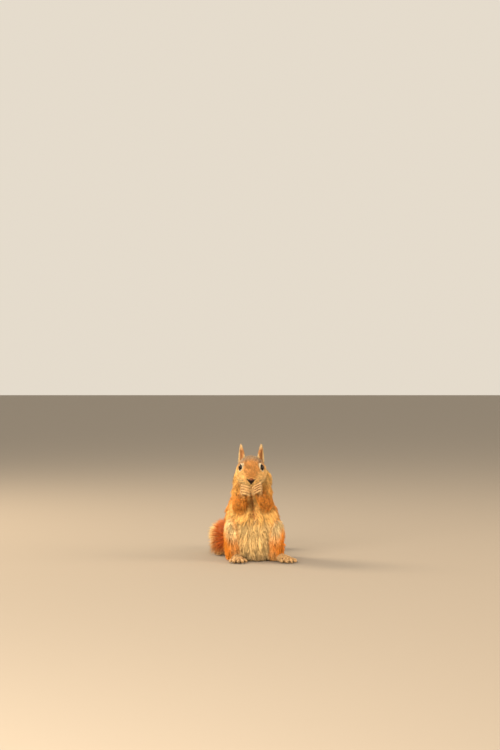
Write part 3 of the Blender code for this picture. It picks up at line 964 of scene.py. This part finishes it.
def wet_eye():
    """Cornea over a brown iris with frayed borders, and the small sharp highlight of a live eye."""
    constants = {
        "Roughness": 0.22,
        "IOR": 1.376,
        "Specular IOR Level": 0.15,
        "Coat Weight": 0.15,
        "Coat Roughness": 0.03,
    }
    made, tree, shader = new_material("wet eye, brown iris", constants)
    angle = add(tree, "ShaderNodeAttribute", attribute_name="angle").outputs["Fac"]
    place = add(tree, "ShaderNodeTexCoord").outputs["Object"]
    fibre = add(tree, "ShaderNodeTexNoise", {"Vector": place, "Scale": 1 / (0.35 * MM), "Detail": 3.0})
    shift = add(tree, "ShaderNodeMapRange", {0: fibre.outputs["Fac"], 3: -3.0, 4: 3.0})
    seen = add(tree, "ShaderNodeMath", {0: angle, 1: shift.outputs[0]}, operation="ADD")
    share = add(tree, "ShaderNodeMapRange", {0: seen.outputs[0], 2: 90.0})
    tones = add(tree, "ShaderNodeValToRGB", {"Fac": share.outputs[0]})
    stops = tones.color_ramp.elements
    stops[0].position, stops[0].color = 0.20, (*colour("#060404"), 1)
    stops[1].position, stops[1].color = 0.60, (*colour("#0B0705"), 1)
    for at, tone in ((0.27, "#22140D"), (0.46, "#190E09")):
        stops.new(at).color = (*colour(tone), 1)
    tree.links.new(tones.outputs["Color"], shader.inputs["Base Color"])
    return made


eye_finish = wet_eye()
for side in SIDES:
    shape = bmesh.new()
    bmesh.ops.create_uvsphere(shape, u_segments=48, v_segments=24, radius=EYE_RADIUS)
    out = Vector(eye_axes(side)[0])
    turned = out.to_track_quat("Z", "Y").to_matrix().to_4x4()
    bmesh.ops.transform(shape, matrix=turned, verts=shape.verts)
    ball = as_mesh(shape, f"eyeball_{side}")
    angles = np.degrees(np.arccos(np.clip(unit(corners(ball)) @ np.array(out), -1, 1)))
    put_values(ball, "angle", angles)
    put_corners(ball, corners(ball) + np.array(eye_places[side]))
    ball.shade_smooth()
    finished(f"eyeball_{side}", ball, eye_finish, "eye", f"eye_{side}")
print("eyeballs", round(EYE_RADIUS * 2 / MM, 1), "mm across")

# %% [markdown]
# ## Claws
#
# Each toe ends in a thin hooked claw of dark horn. A claw is a round rod that tapers to a point
# along a bend, and so is a whisker, so one function makes both. The tip of a toe is wherever a paw
# is further from a chosen spot than anything near by, so nobody has to type in eighteen places.
# The spot is the heel of a foot. For a hand, whose fingers lie across the chest, it is a place well
# out to that side.

# %% a tapering rod


def rod(shape, spine, radii, sides):
    """Adds a closed rod along the spine, with a radius at each of its points and a sharp end."""
    rings = []
    for number, (point, radius) in enumerate(zip(spine[:-1], radii)):
        along = (spine[number + 1] - point).normalized()
        side = along.orthogonal().normalized()
        turns = [Matrix.Rotation(2 * math.pi * k / sides, 3, along) for k in range(sides)]
        rings.append([shape.verts.new(point + turn @ side * radius) for turn in turns])
    tip = shape.verts.new(spine[-1])
    for low, high in zip(rings, rings[1:]):
        for k in range(sides):
            shape.faces.new((low[k], low[(k + 1) % sides], high[(k + 1) % sides], high[k]))
    for k in range(sides):
        shape.faces.new((rings[-1][k], rings[-1][(k + 1) % sides], tip))
    shape.faces.new(list(reversed(rings[0])))


# %% claws
TOE_SPACING = 2.0 * MM
CLAW_STEPS = 6
CLAW_SUNK = 0.35  # share of a claw's length that starts inside the toe
CLAW_DROP = 0.42  # share of its length that its point comes down
HAND_SPOT = 60 * MM  # how far outside a hand the spot lies that its fingertips are furthest from


def toe_ends(node, root, count):
    """The tips of a paw's toes, each with the way it points: places furthest from root near by."""
    spots = [np.array(vertex.co) for vertex in frame["nodes"][node].data.vertices]
    spots = np.unique(np.round(spots, 6), axis=0)
    far = np.linalg.norm(spots - root, axis=1)
    ends = []
    for number in np.argsort(-far):
        gap = np.linalg.norm(spots - spots[number], axis=1)
        apart = all(np.linalg.norm(spots[number] - end) > TOE_SPACING for end, _ in ends)
        if apart and far[number] >= far[gap < TOE_SPACING].max() - 1e-6:
            behind_it = spots[gap < TOE_SPACING * 1.4].mean(axis=0)
            ends.append((spots[number], unit(spots[number] - behind_it)))
    return ends[:count]


def claws(node, root, count, long, radius, turned=(0, 0, 0.25)):
    """One mesh with a hooked claw on each toe of a paw, turned a little from the toe's own way."""
    shape = bmesh.new()
    for tip, along in toe_ends(node, np.array(root), count):
        ahead = Vector(unit(along + np.array(turned)))
        start = Vector(tip) - ahead * long * CLAW_SUNK + Vector((0, 0, radius * 0.5))
        spine = []
        for k in range(CLAW_STEPS + 1):
            t = k / CLAW_STEPS
            spot = start + ahead * long * t - Vector((0, 0, long * CLAW_DROP * t * t))
            spot.z = max(spot.z, radius * (1.15 - t * 0.8))
            spine.append(spot)
        radii = [radius * (1 - 0.8 * (k / CLAW_STEPS) ** 1.3) for k in range(CLAW_STEPS)]
        rod(shape, spine, radii, 8)
    bmesh.ops.recalc_face_normals(shape, faces=shape.faces)
    return as_mesh(shape, node)


def dark_horn():
    """Horn: nearly black, with browner, clearer patches about 0.6 mm across, and a dull polish."""
    made, tree, shader = new_material("dark horn, grown", {"Roughness": 0.35, "IOR": 1.54})
    place = add(tree, "ShaderNodeTexCoord").outputs["Object"]
    grain = add(tree, "ShaderNodeTexNoise", {"Vector": place, "Scale": 1 / (0.6 * MM), "Detail": 4.0})
    tones = add(tree, "ShaderNodeMix", {0: grain.outputs["Fac"]}, data_type="RGBA")
    tones.inputs[6].default_value = (*colour("#17100C"), 1)
    tones.inputs[7].default_value = (*colour("#4A3728"), 1)
    tree.links.new(tones.outputs[2], shader.inputs["Base Color"])
    return made


horn = dark_horn()
for side in SIDES:
    low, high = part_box(f"foot_{side}")
    heel_x = (low.x + high.x) / 2 - math.sin(FOOT_TURN[side]) * (high.y - low.y) / 2
    toes = claws(f"foot_{side}", Vector((heel_x, high.y, 0)), 5, 3.4 * MM, 0.55 * MM)
    finished(f"claws_foot_{side}", toes, horn, "claw")
    low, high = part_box(f"hand_{side}")
    far_out = low.x - HAND_SPOT if side == "right" else high.x + HAND_SPOT
    spot = (far_out, (low.y + high.y) / 2, high.z)
    fingers = claws(f"hand_{side}", spot, 4, 1.7 * MM, 0.36 * MM, (0, 0.7, -0.5))
    finished(f"claws_hand_{side}", fingers, horn, "claw")
    print("claws on the", side + ":", len(toes.polygons) + len(fingers.polygons), "faces")

# %% [markdown]
# ## Whiskers
#
# The muzzle carries stiff black whiskers in rows, the longest about 26 mm. A ray from the side
# finds each root on the skin, so the whiskers stay rooted if the muzzle changes. They lean further
# back the further back they stand, droop under their own weight, and differ a little by lot.

# %% whiskers
WHISKER_ROWS = 3
WHISKERS_IN_ROW = 4
WHISKER_STEPS = 8
WHISKER_RADIUS = 0.12 * MM


def stiff_hair():
    """One thick black hair, browner in places, smooth enough for a thin bright line along it."""
    made, tree, shader = new_material("stiff black hair, tapered", {"Roughness": 0.4})
    place = add(tree, "ShaderNodeTexCoord").outputs["Object"]
    patch = add(tree, "ShaderNodeTexNoise", {"Vector": place, "Scale": 1 / (4 * MM)})
    tones = add(tree, "ShaderNodeMix", {0: patch.outputs["Fac"]}, data_type="RGBA")
    tones.inputs[6].default_value = (*colour("#0E0A08"), 1)
    tones.inputs[7].default_value = (*colour("#33261D"), 1)
    tree.links.new(tones.outputs[2], shader.inputs["Base Color"])
    return made


draw = random.Random(5)
shape = bmesh.new()
skin_tree = BVHTree.FromPolygons([v.co for v in skin.vertices], [p.vertices for p in skin.polygons])
for sign in (1, -1):
    for row in range(WHISKER_ROWS):
        for k in range(WHISKERS_IN_ROW):
            inside = nose_place + Vector((0, 3.2 + k * 2.0, -2.2 - row * 1.25)) * MM
            outside = inside + Vector((sign * 20 * MM, 0, 0))
            root, normal = skin_tree.ray_cast(outside, Vector((-sign, 0, 0)))[:2]
            backwards = 0.12 + k * 0.16 + draw.uniform(-0.1, 0.1)
            upwards = 0.25 - row * 0.3 + draw.uniform(-0.1, 0.1)
            away = Vector((sign, backwards, upwards)).normalized()
            long = (15 + k * 3.2 + draw.uniform(-2, 2)) * MM
            drop = Vector((0, 0.35, -0.45)) * long * 0.45
            start = root - normal * 0.2 * MM
            ways = [step / WHISKER_STEPS for step in range(WHISKER_STEPS + 1)]
            spine = [start + away * long * t + drop * t**2 for t in ways]
            rod(shape, spine, [WHISKER_RADIUS * (1 - 0.85 * t) for t in ways[:-1]], 4)
bmesh.ops.recalc_face_normals(shape, faces=shape.faces)
finished("whiskers", as_mesh(shape, "whiskers"), stiff_hair(), "coat_head")
print(2 * WHISKER_ROWS * WHISKERS_IN_ROW, "whiskers")

# %% [markdown]
# ## One lock of hair
#
# Fur is drawn in locks: a few hairs that leave the skin side by side and lean together at the tips.
# Each hair here is a closed three-sided spike, because a thin solid spike survives being made into
# any file, which a strand on a particle system doesn't. A hair on the body is bent over its length
# and has two rings of corners between root and tip. A short one does with one ring. Some different
# locks of each kind are made, a unit high and about a unit wide, so that no pattern shows when they
# repeat.

# %% locks
LOCKS_OF_A_KIND = 5
HAIRS = 4


def lock(name, rings, seed):
    """A few spikes. Corners carry how far along a hair they are, and their cell in a flat patch."""
    draw = random.Random(seed)
    verts, faces, along, cell = [], [], [], []
    for hair in range(HAIRS):
        turn = draw.uniform(0, 2 * math.pi)
        out = 0.45 * math.sqrt(draw.uniform(0.05, 1))
        foot = Vector((math.cos(turn), math.sin(turn), 0)) * out
        lean = Vector((draw.uniform(-0.3, 0.3), draw.uniform(-0.3, 0.3), 0)) - foot * 0.5
        high = draw.uniform(0.74, 1.0)
        wide = draw.uniform(0.13, 0.19)
        first = len(verts)
        levels = [k / (rings + 0.8) for k in range(rings + 1)]
        for level in levels:
            radius = wide * (1 - 0.55 * level**1.5) * (0.8 if level == 0 else 1)
            for k in range(3):
                angle = turn + 2 * math.pi * k / 3 + level
                spoke = Vector((math.cos(angle), math.sin(angle), 0)) * radius
                verts.append(foot + lean * level**1.4 + spoke + Vector((0, 0, high * level)))
                along.append(level)
                cell.append(((hair + k / 3) / HAIRS, level))
        verts.append(foot + lean + Vector((0, 0, high)))
        along.append(1.0)
        cell.append(((hair + 0.33) / HAIRS, 1.0))
        faces.append((first, first + 2, first + 1))
        for ring in range(rings + 1):
            for k in range(3):
                a, b = first + ring * 3 + k, first + ring * 3 + (k + 1) % 3
                if ring == rings:
                    faces.append((a, b, len(verts) - 1))
                else:
                    faces += [(a, b, b + 3), (a, b + 3, a + 3)]
    mesh = bpy.data.meshes.new(name)
    mesh.from_pydata(verts, [], faces)
    put_values(mesh, "along", np.array(along))
    put_values(mesh, "cell", np.array(cell))
    mesh.shade_smooth()
    return mesh


def shelf_of_locks(name, rings):
    """A collection of different locks, which isn't linked into the scene."""
    shelf = bpy.data.collections.new(name)
    for number in range(LOCKS_OF_A_KIND):
        shelf.objects.link(bpy.data.objects.new(f"{name} {number}", lock(f"{name} {number}", rings, number)))
    return shelf


shelves = {"long": shelf_of_locks("long lock", 2), "short": shelf_of_locks("short lock", 1)}
lock_size = {name: len(shelf.objects[0].data.polygons) for name, shelf in shelves.items()}
print("triangles in a lock:", lock_size)

# %% [markdown]
# ## Laying the coat with Geometry Nodes
#
# Setting thousands of locks by hand is hopeless, and a loop in Python is slow. Geometry Nodes scatter
# points on a patch of skin, none too close to another, stand a lock on each along the lie of the
# coat, and then bend the joined locks over. What differs from place to place, such as lie, length
# and colour, comes from values stored on the skin. Each lock also gets a tiny patch of a UV map at
# its root's place on the flattened skin, so that colours can be baked for it later.

# %% what the tree reads and draws
STORED = {
    # what the skin and the locks keep on their corners, and of which kind it is
    "thick": "FLOAT", "girth": "FLOAT", "reach": "FLOAT", "along": "FLOAT", "clump": "FLOAT",
    "lie": "FLOAT_VECTOR", "across": "FLOAT_VECTOR", "sweep": "FLOAT_VECTOR",
    "unwrap": "FLOAT_VECTOR", "cell": "FLOAT_VECTOR",
}
DRAWN = {
    # what is drawn by lot for each lock, from and to
    "lot": (0.0, 1.0), "tilt": (-0.08, 0.08), "lean": (-0.08, 0.08), "spin": (-3.0, 3.0),
    "width": (0.85, 1.2), "height": (0.78, 1.12), "shape": (0.0, LOCKS_OF_A_KIND - 0.001),
}
ONLY_FOR_LAYING = ("lie", "across", "sweep", "reach", "girth", "thick", "unwrap", "cell")
FIRST_TRIES = 5.0  # spots tried on each square of the spacing, before those too near are dropped
WAVES = 5.0  # how far the sideways wave turns from root to tip, in radians
print(len(STORED), "stored values,", len(DRAWN), "drawn by lot")

# %% the tree's inputs, stored values and draws


def empty_tree():
    """A tree with its inputs and output, and the sockets of what is given, stored and drawn."""
    tree = bpy.data.node_groups.new("lay coat", "GeometryNodeTree")
    face = tree.interface
    face.new_socket("Skin", in_out="INPUT", socket_type="NodeSocketGeometry")
    face.new_socket("Locks", in_out="INPUT", socket_type="NodeSocketCollection")
    for name in ("Spacing", "Curl", "Patch size", "Floor height"):
        face.new_socket(name, in_out="INPUT", socket_type="NodeSocketFloat")
    face.new_socket("Seed", in_out="INPUT", socket_type="NodeSocketInt")
    face.new_socket("Coat", in_out="INPUT", socket_type="NodeSocketMaterial")
    face.new_socket("Coat of hair", in_out="OUTPUT", socket_type="NodeSocketGeometry")
    given = add(tree, "NodeGroupInput").outputs
    stored, drawn = {}, {}
    for name, kind in STORED.items():
        reader = add(tree, "GeometryNodeInputNamedAttribute", {"Name": name}, data_type=kind)
        stored[name] = reader.outputs["Attribute"]
    for number, (name, (least, most)) in enumerate(DRAWN.items()):
        seed = add(tree, "ShaderNodeMath", {0: given["Seed"], 1: 11.0 * (number + 1)}, operation="ADD")
        inputs = {2: least, 3: most, "Seed": seed.outputs[0]}
        drawn[name] = add(tree, "FunctionNodeRandomValue", inputs, data_type="FLOAT").outputs[1]
    return tree, given, stored, drawn


# %% a scatter, and a lock on each spot


def scattered(tree, given, stored, drawn):
    """Spots on the skin, no nearer to each other than the spacing, each with its own lot."""
    inputs = {0: given["Spacing"], 1: given["Spacing"]}
    square = add(tree, "ShaderNodeMath", inputs, operation="MULTIPLY").outputs[0]
    density = add(tree, "ShaderNodeMath", {0: FIRST_TRIES, 1: square}, operation="DIVIDE").outputs[0]
    inputs = {
        "Mesh": given["Skin"],
        "Distance Min": given["Spacing"],
        "Density Max": density,
        "Density Factor": stored["thick"],
        "Seed": given["Seed"],
    }
    scatter = add(tree, "GeometryNodeDistributePointsOnFaces", inputs, distribute_method="POISSON")
    inputs = {"Geometry": scatter.outputs["Points"], "Name": "lot", "Value": drawn["lot"]}
    return add(tree, "GeometryNodeStoreNamedAttribute", inputs, data_type="FLOAT", domain="POINT").outputs[0]


def locks_on(tree, spots, given, stored, drawn):
    """A lock on each spot, along the lie, turned about itself and a little out of line."""
    axes = {0: stored["lie"], 1: stored["across"]}
    stand = add(tree, "FunctionNodeAxesToRotation", axes, primary_axis="Z", secondary_axis="X").outputs[0]
    own_turn = add(tree, "ShaderNodeCombineXYZ", {0: drawn["tilt"], 1: drawn["lean"], 2: drawn["spin"]})
    inputs = {"Rotation": stand, "Rotate By": own_turn.outputs[0]}
    stand = add(tree, "FunctionNodeRotateRotation", inputs, rotation_space="LOCAL").outputs[0]
    inputs = {0: stored["girth"], 1: drawn["width"]}
    wide = add(tree, "ShaderNodeMath", inputs, operation="MULTIPLY").outputs[0]
    inputs = {0: stored["reach"], 1: drawn["height"]}
    high = add(tree, "ShaderNodeMath", inputs, operation="MULTIPLY").outputs[0]
    shelf = {"Collection": given["Locks"], "Separate Children": True, "Reset Children": True}
    shape = add(tree, "FunctionNodeFloatToInt", {0: drawn["shape"]}, rounding_mode="FLOOR").outputs[0]
    inputs = {
        "Points": spots,
        "Instance": add(tree, "GeometryNodeCollectionInfo", shelf).outputs[0],
        "Pick Instance": True,
        "Instance Index": shape,
        "Rotation": stand,
        "Scale": add(tree, "ShaderNodeCombineXYZ", {0: wide, 1: wide, 2: high}).outputs[0],
    }
    coat = add(tree, "GeometryNodeInstanceOnPoints", inputs).outputs[0]
    return add(tree, "GeometryNodeRealizeInstances", {0: coat}).outputs[0]


# %% the bend, the floor and the patches


def bent_over(tree, coat, given, stored):
    """Bends locks to the skin by the square of the way along, and sideways in a slow wave."""
    along, reach = stored["along"], stored["reach"]
    further = add(tree, "ShaderNodeMath", {0: along, 1: reach}, operation="MULTIPLY").outputs[0]
    squared = add(tree, "ShaderNodeMath", {0: along, 1: further}, operation="MULTIPLY").outputs[0]
    inputs = {"Vector": stored["sweep"], "Scale": squared}
    bent = add(tree, "ShaderNodeVectorMath", inputs, operation="SCALE").outputs["Vector"]
    inputs = {0: stored["clump"], 1: 2 * math.pi}
    start = add(tree, "ShaderNodeMath", inputs, operation="MULTIPLY").outputs[0]
    phase = add(tree, "ShaderNodeMath", {0: along, 1: WAVES, 2: start}, operation="MULTIPLY_ADD").outputs[0]
    wave = add(tree, "ShaderNodeMath", {0: phase}, operation="SINE").outputs[0]
    curl = add(tree, "ShaderNodeMath", {0: further, 1: given["Curl"]}, operation="MULTIPLY").outputs[0]
    sway = add(tree, "ShaderNodeMath", {0: wave, 1: curl}, operation="MULTIPLY").outputs[0]
    inputs = {"Vector": stored["across"], "Scale": sway}
    aside = add(tree, "ShaderNodeVectorMath", inputs, operation="SCALE").outputs["Vector"]
    moved = add(tree, "ShaderNodeVectorMath", {0: bent, 1: aside}, operation="ADD").outputs["Vector"]
    return add(tree, "GeometryNodeSetPosition", {"Geometry": coat, "Offset": moved}).outputs[0]


def above_floor(tree, coat, given):
    """Lifts what would go through the floor."""
    position = add(tree, "GeometryNodeInputPosition").outputs[0]
    place = add(tree, "ShaderNodeSeparateXYZ", {0: position}).outputs
    inputs = {0: place[2], 1: given["Floor height"]}
    raised = add(tree, "ShaderNodeMath", inputs, operation="MAXIMUM").outputs[0]
    kept = add(tree, "ShaderNodeCombineXYZ", {0: place[0], 1: place[1], 2: raised}).outputs[0]
    return add(tree, "GeometryNodeSetPosition", {"Geometry": coat, "Position": kept}).outputs[0]


def with_patches(tree, coat, given, stored):
    """Gives each lock its patch of the UV map, round its root's place on the flattened skin."""
    centred = add(tree, "ShaderNodeVectorMath", {0: stored["cell"], 1: (-0.5, -0.5, 0.0)}, operation="ADD")
    inputs = {"Vector": centred.outputs["Vector"], "Scale": given["Patch size"]}
    small = add(tree, "ShaderNodeVectorMath", inputs, operation="SCALE").outputs["Vector"]
    patch = add(tree, "ShaderNodeVectorMath", {0: stored["unwrap"], 1: small}, operation="ADD")
    inputs = {"Geometry": coat, "Name": "OFBake", "Value": patch.outputs["Vector"]}
    mapped = add(tree, "GeometryNodeStoreNamedAttribute", inputs, data_type="FLOAT2", domain="CORNER")
    return mapped.outputs[0]


# %% the whole tree


def coat_tree():
    """Stands a lock on every spot of a scatter, then bends the joined locks and names their patches."""
    tree, given, stored, drawn = empty_tree()
    spots = scattered(tree, given, stored, drawn)
    coat = locks_on(tree, spots, given, stored, drawn)
    coat = bent_over(tree, coat, given, stored)
    coat = above_floor(tree, coat, given)
    coat = with_patches(tree, coat, given, stored)
    for name in ONLY_FOR_LAYING:
        coat = add(tree, "GeometryNodeRemoveAttribute", {"Geometry": coat, "Name": name}).outputs[0]
    coat = add(tree, "GeometryNodeSetMaterial", {"Geometry": coat, "Material": given["Coat"]}).outputs[0]
    add(tree, "NodeGroupOutput", {0: coat})
    return tree


lay_coat = coat_tree()
print("lay coat:", len(lay_coat.nodes), "nodes")

# %% [markdown]
# ## Clumps
#
# In a living coat locks gather further into clumps, with dark partings between them, a few
# millimetres apart on the body and finer on the face. Random corners are taken as the middles of
# clumps, and the hair around each leans its tip towards it.

# %% clumps
CLUMP_SPACING = {
    # in mm
    "trunk": 4.4, "neck": 3.2, "head": 2.4, "thigh": 3.8,
    "upper_arm": 3.6, "forearm": 3.2, "tail": 7.0,
}
OTHER_SPACING = 2.0
CLUMP_STRETCH = 3.2  # a clump on the body is this many times as high as it is wide
GATHER = 0.6  # share of the way to the middle of its clump that a tip leans
FARTHEST = 1.2  # in spacings, the longest way to a middle that still makes hair lean further
PARTING_FROM = 0.7  # in spacings from a middle, where the parting between clumps is darkest

faces = np.array([polygon.vertices[:] for polygon in skin.polygons])
crossed = np.cross(points[faces[:, 1]] - points[faces[:, 0]], points[faces[:, 2]] - points[faces[:, 0]])
corner_area = np.bincount(faces.ravel(), np.repeat(np.linalg.norm(crossed, axis=1) / 6, 3), len(points))
spacing = np.array([CLUMP_SPACING.get(kind, OTHER_SPACING) for kind in kind_at]) * MM
stretch = 1 + (CLUMP_STRETCH - 1) * (body + parts["thigh"] + parts["shank"])
squeezed = points * np.stack([np.ones(len(points)), np.ones(len(points)), 1 / stretch], axis=1)
lots = np.random.default_rng(3)
middles = np.nonzero(lots.random(len(points)) < corner_area / spacing**2 / stretch)[0]
clump_of = carried(squeezed[middles], np.arange(len(middles)), squeezed)
towards = points[middles][clump_of] - points
for axis in (outward, flow):
    towards -= axis * np.sum(towards * axis, axis=1)[:, None]
towards *= np.minimum(1, spacing * FARTHEST / np.maximum(np.linalg.norm(towards, axis=1), 1e-9))[:, None]
sweep = sweep + towards * (GATHER / length)[:, None]
# Hair is painted darker towards a parting, as shade falls between clumps, and a little paler and
# longer in one clump than in the next.
shade = np.clip(np.linalg.norm(towards, axis=1) / (spacing * PARTING_FROM), 0, 1)
tips = tips * (1.08 - 0.32 * shade)[:, None]
roots = roots * (1.0 - 0.25 * shade)[:, None]
clump = lots.random(len(middles))[clump_of]
length = length * (0.88 + 0.24 * clump)
print(len(middles), "clumps")

# %% [markdown]
# ## The hair's material
#
# A hair is paler at its tip than at its root, a back hair is banded dark and pale, and no two locks
# have quite the same colour. All of that comes from values on the corners. Hair is horn too, but a
# coat of it has a soft broken gloss, so its roughness is above the middle and a little sheen stands
# for the light that leaks through the tips.

# %% coat material


def soft_coat():
    """Soft hair, grown: root and tip colours, agouti bands, and some difference between locks."""
    constants = {
        "Roughness": 0.62,
        "IOR": 1.5,
        "Specular Tint": (*colour("#E0A868"), 1),
        "Sheen Weight": 0.05,
        "Sheen Roughness": 0.5,
    }
    made, tree, shader = new_material("soft coat, grown hair", constants)
    along = add(tree, "ShaderNodeAttribute", attribute_name="along").outputs["Fac"]
    lot = add(tree, "ShaderNodeAttribute", attribute_name="lot").outputs["Fac"]
    group = add(tree, "ShaderNodeAttribute", attribute_name="clump").outputs["Fac"]
    ticked_here = add(tree, "ShaderNodeAttribute", attribute_name="ticked").outputs["Fac"]
    root = add(tree, "ShaderNodeAttribute", attribute_name="tint_root").outputs["Color"]
    tip = add(tree, "ShaderNodeAttribute", attribute_name="tint_tip").outputs["Color"]
    late_here = add(tree, "ShaderNodeAttribute", attribute_name="late").outputs["Fac"]
    start = add(tree, "ShaderNodeMapRange", {0: late_here, 3: 0.0, 4: 0.66}).outputs[0]
    end = add(tree, "ShaderNodeMapRange", {0: late_here, 3: 0.55, 4: 1.0}).outputs[0]
    rise = add(tree, "ShaderNodeMapRange", {0: along, 1: start, 2: end}, interpolation_type="SMOOTHSTEP")
    tones = add(tree, "ShaderNodeMix", {0: rise.outputs[0], 6: root, 7: tip}, data_type="RGBA").outputs[2]

    shifted = add(tree, "ShaderNodeMath", {0: lot, 1: 0.22, 2: along}, operation="MULTIPLY_ADD").outputs[0]
    bands = add(tree, "ShaderNodeValToRGB", {"Fac": shifted})
    stops = bands.color_ramp.elements
    stops[0].position, stops[0].color = 0.30, (*colour("#4A3B2E"), 1)
    stops[1].position, stops[1].color = 1.0, (*colour("#2E241B"), 1)
    for at, tone in ((0.55, "#5A4633"), (0.66, "#C7A36C"), (0.82, "#CFAE7C"), (0.92, "#3A2C20")):
        stops.new(at).color = (*colour(tone), 1)
    banded = add(tree, "ShaderNodeMath", {0: ticked_here, 1: 0.75}, operation="MULTIPLY").outputs[0]
    inputs = {0: banded, 6: tones, 7: bands.outputs["Color"]}
    tones = add(tree, "ShaderNodeMix", inputs, data_type="RGBA").outputs[2]

    own = add(tree, "ShaderNodeMapRange", {0: lot, 3: 0.84, 4: 1.14}).outputs[0]
    shared = add(tree, "ShaderNodeMapRange", {0: group, 3: 0.88, 4: 1.10}).outputs[0]
    value = add(tree, "ShaderNodeMath", {0: own, 1: shared}, operation="MULTIPLY").outputs[0]
    tones = add(tree, "ShaderNodeHueSaturation", {"Color": tones, "Value": value}).outputs[0]
    tree.links.new(tones, shader.inputs["Base Color"])
    return made


coat_finish = soft_coat()
print("material:", coat_finish.name)

# %% [markdown]
# ## The coat, region by region
#
# One mesh of the whole coat would be too heavy to hand on, so it is laid in regions, each with a
# budget of triangles. The area of a region and its budget give the spacing of its locks.

# %% regions, and a patch of skin for each
PATCH = 0.003  # side of a lock's patch in a UV map whose own side is 1
POISSON_FILL = 0.66  # points that a Poisson scatter sets for each square of its spacing


def corners_of(*names):
    return np.isin(kind_at, names)


trunk_back = behind > 0.5
face_front = np.linalg.norm(points - nose, axis=1) < FACE_LENGTH
node_at = np.array(flesh)[owners]
REGIONS = (
    # name, slot, corners, budget of triangles, kind of lock, curl
    ("back", "coat_back", corners_of("trunk") & trunk_back, 185_000, "long", 0.05),
    ("belly", "coat_belly", corners_of("trunk") & ~trunk_back, 190_000, "long", 0.10),
    ("neck", "coat_orange", corners_of("neck"), 100_000, "short", 0.05),
    ("arms", "coat_orange", corners_of("upper_arm", "forearm"), 120_000, "short", 0.06),
    ("haunches", "coat_orange", corners_of("thigh", "shank"), 190_000, "long", 0.06),
    ("face", "coat_head", corners_of("head", "nose") & face_front, 150_000, "short", 0.03),
    ("crown_and_ears", "coat_head", corners_of("head", "ear") & ~face_front, 150_000, "short", 0.03),
    ("paws", "coat_feet", corners_of("hand", "foot"), 140_000, "short", 0.03),
    ("tail_root", "coat_tail", node_at == "tail_root", 90_000, "long", 0.08),
    ("tail_middle", "coat_tail", node_at == "tail_middle", 150_000, "long", 0.08),
    ("tail_tip", "coat_tail", node_at == "tail_tip", 150_000, "long", 0.08),
)
girth = mixed(WIDTH) * MM
VALUES = {
    # what the tree and the material read from the corners
    "lie": lie, "across": across, "sweep": sweep, "reach": length, "girth": girth, "thick": thick,
    "clump": clump, "ticked": ticked, "late": late,
    "tint_root": with_alpha(roots), "tint_tip": with_alpha(tips),
}


def unwrapped(mesh, name):
    """Gives the mesh a UV map that follows its own shape."""
    item = bpy.data.objects.new("being unwrapped", mesh)
    scene.collection.objects.link(item)
    bpy.context.view_layer.objects.active = item
    item.select_set(True)
    mesh.uv_layers.new(name=name)
    bpy.ops.object.mode_set(mode="EDIT")
    bpy.ops.mesh.select_all(action="SELECT")
    bpy.ops.uv.smart_project(angle_limit=math.radians(66), island_margin=0.004)
    bpy.ops.object.mode_set(mode="OBJECT")
    bpy.data.objects.remove(item)


def patch_of_skin(name, chosen):
    """The skin whose corners are chosen, with all its hair has to know, and the area that hair covers."""
    picked = faces[np.count_nonzero(chosen[faces], axis=1) >= 2]
    used = np.unique(picked)
    renumber = np.zeros(len(points), int)
    renumber[used] = np.arange(len(used))
    mesh = bpy.data.meshes.new(name)
    mesh.from_pydata(points[used], [], renumber[picked])
    for key, values in VALUES.items():
        put_values(mesh, key, values[used])
    unwrapped(mesh, "unwrap")
    area = sum(polygon.area for polygon in mesh.polygons)
    return mesh, area * float(np.mean(thick[used]))


print(len(REGIONS), "regions, with", sum(region[3] for region in REGIONS), "triangles at most")

# %% lay the coat
total = 0
for number, (name, slot, chosen, budget, kind, curl) in enumerate(REGIONS):
    patch, area = patch_of_skin(name, chosen)
    piece = bpy.data.objects.new(name, patch)
    scene.collection.objects.link(piece)
    laying = piece.modifiers.new("lay coat", "NODES")
    laying.node_group = lay_coat
    wanted = {
        "Locks": shelves[kind],
        "Spacing": math.sqrt(POISSON_FILL * area * lock_size[kind] / budget),
        "Curl": curl,
        "Patch size": PATCH,
        "Floor height": CLEAR_OF_FLOOR,
        "Seed": 100 + number,
        "Coat": coat_finish,
    }
    for socket in lay_coat.interface.items_tree:
        if socket.in_out == "INPUT" and socket.name in wanted:
            laying[socket.identifier] = wanted[socket.name]
    grown = bpy.data.meshes.new_from_object(piece.evaluated_get(bpy.context.evaluated_depsgraph_get()))
    bpy.data.objects.remove(piece)
    finished(f"coat_{name}", grown, coat_finish, slot)
    total += len(grown.polygons)
    print(f"coat_{name}: {len(grown.polygons)} triangles, locks {wanted['Spacing'] / MM:.2f} mm apart")
print("coat:", total, "triangles")

# %% [markdown]
# ## The end
#
# The coat may stand a few millimetres proud of the solids, and no more.
# The shelves of locks have done their work and are cleared away.

# %% the shelves are cleared away
for shelf in shelves.values():
    for item in list(shelf.objects):
        bpy.data.objects.remove(item)
    bpy.data.collections.remove(shelf)
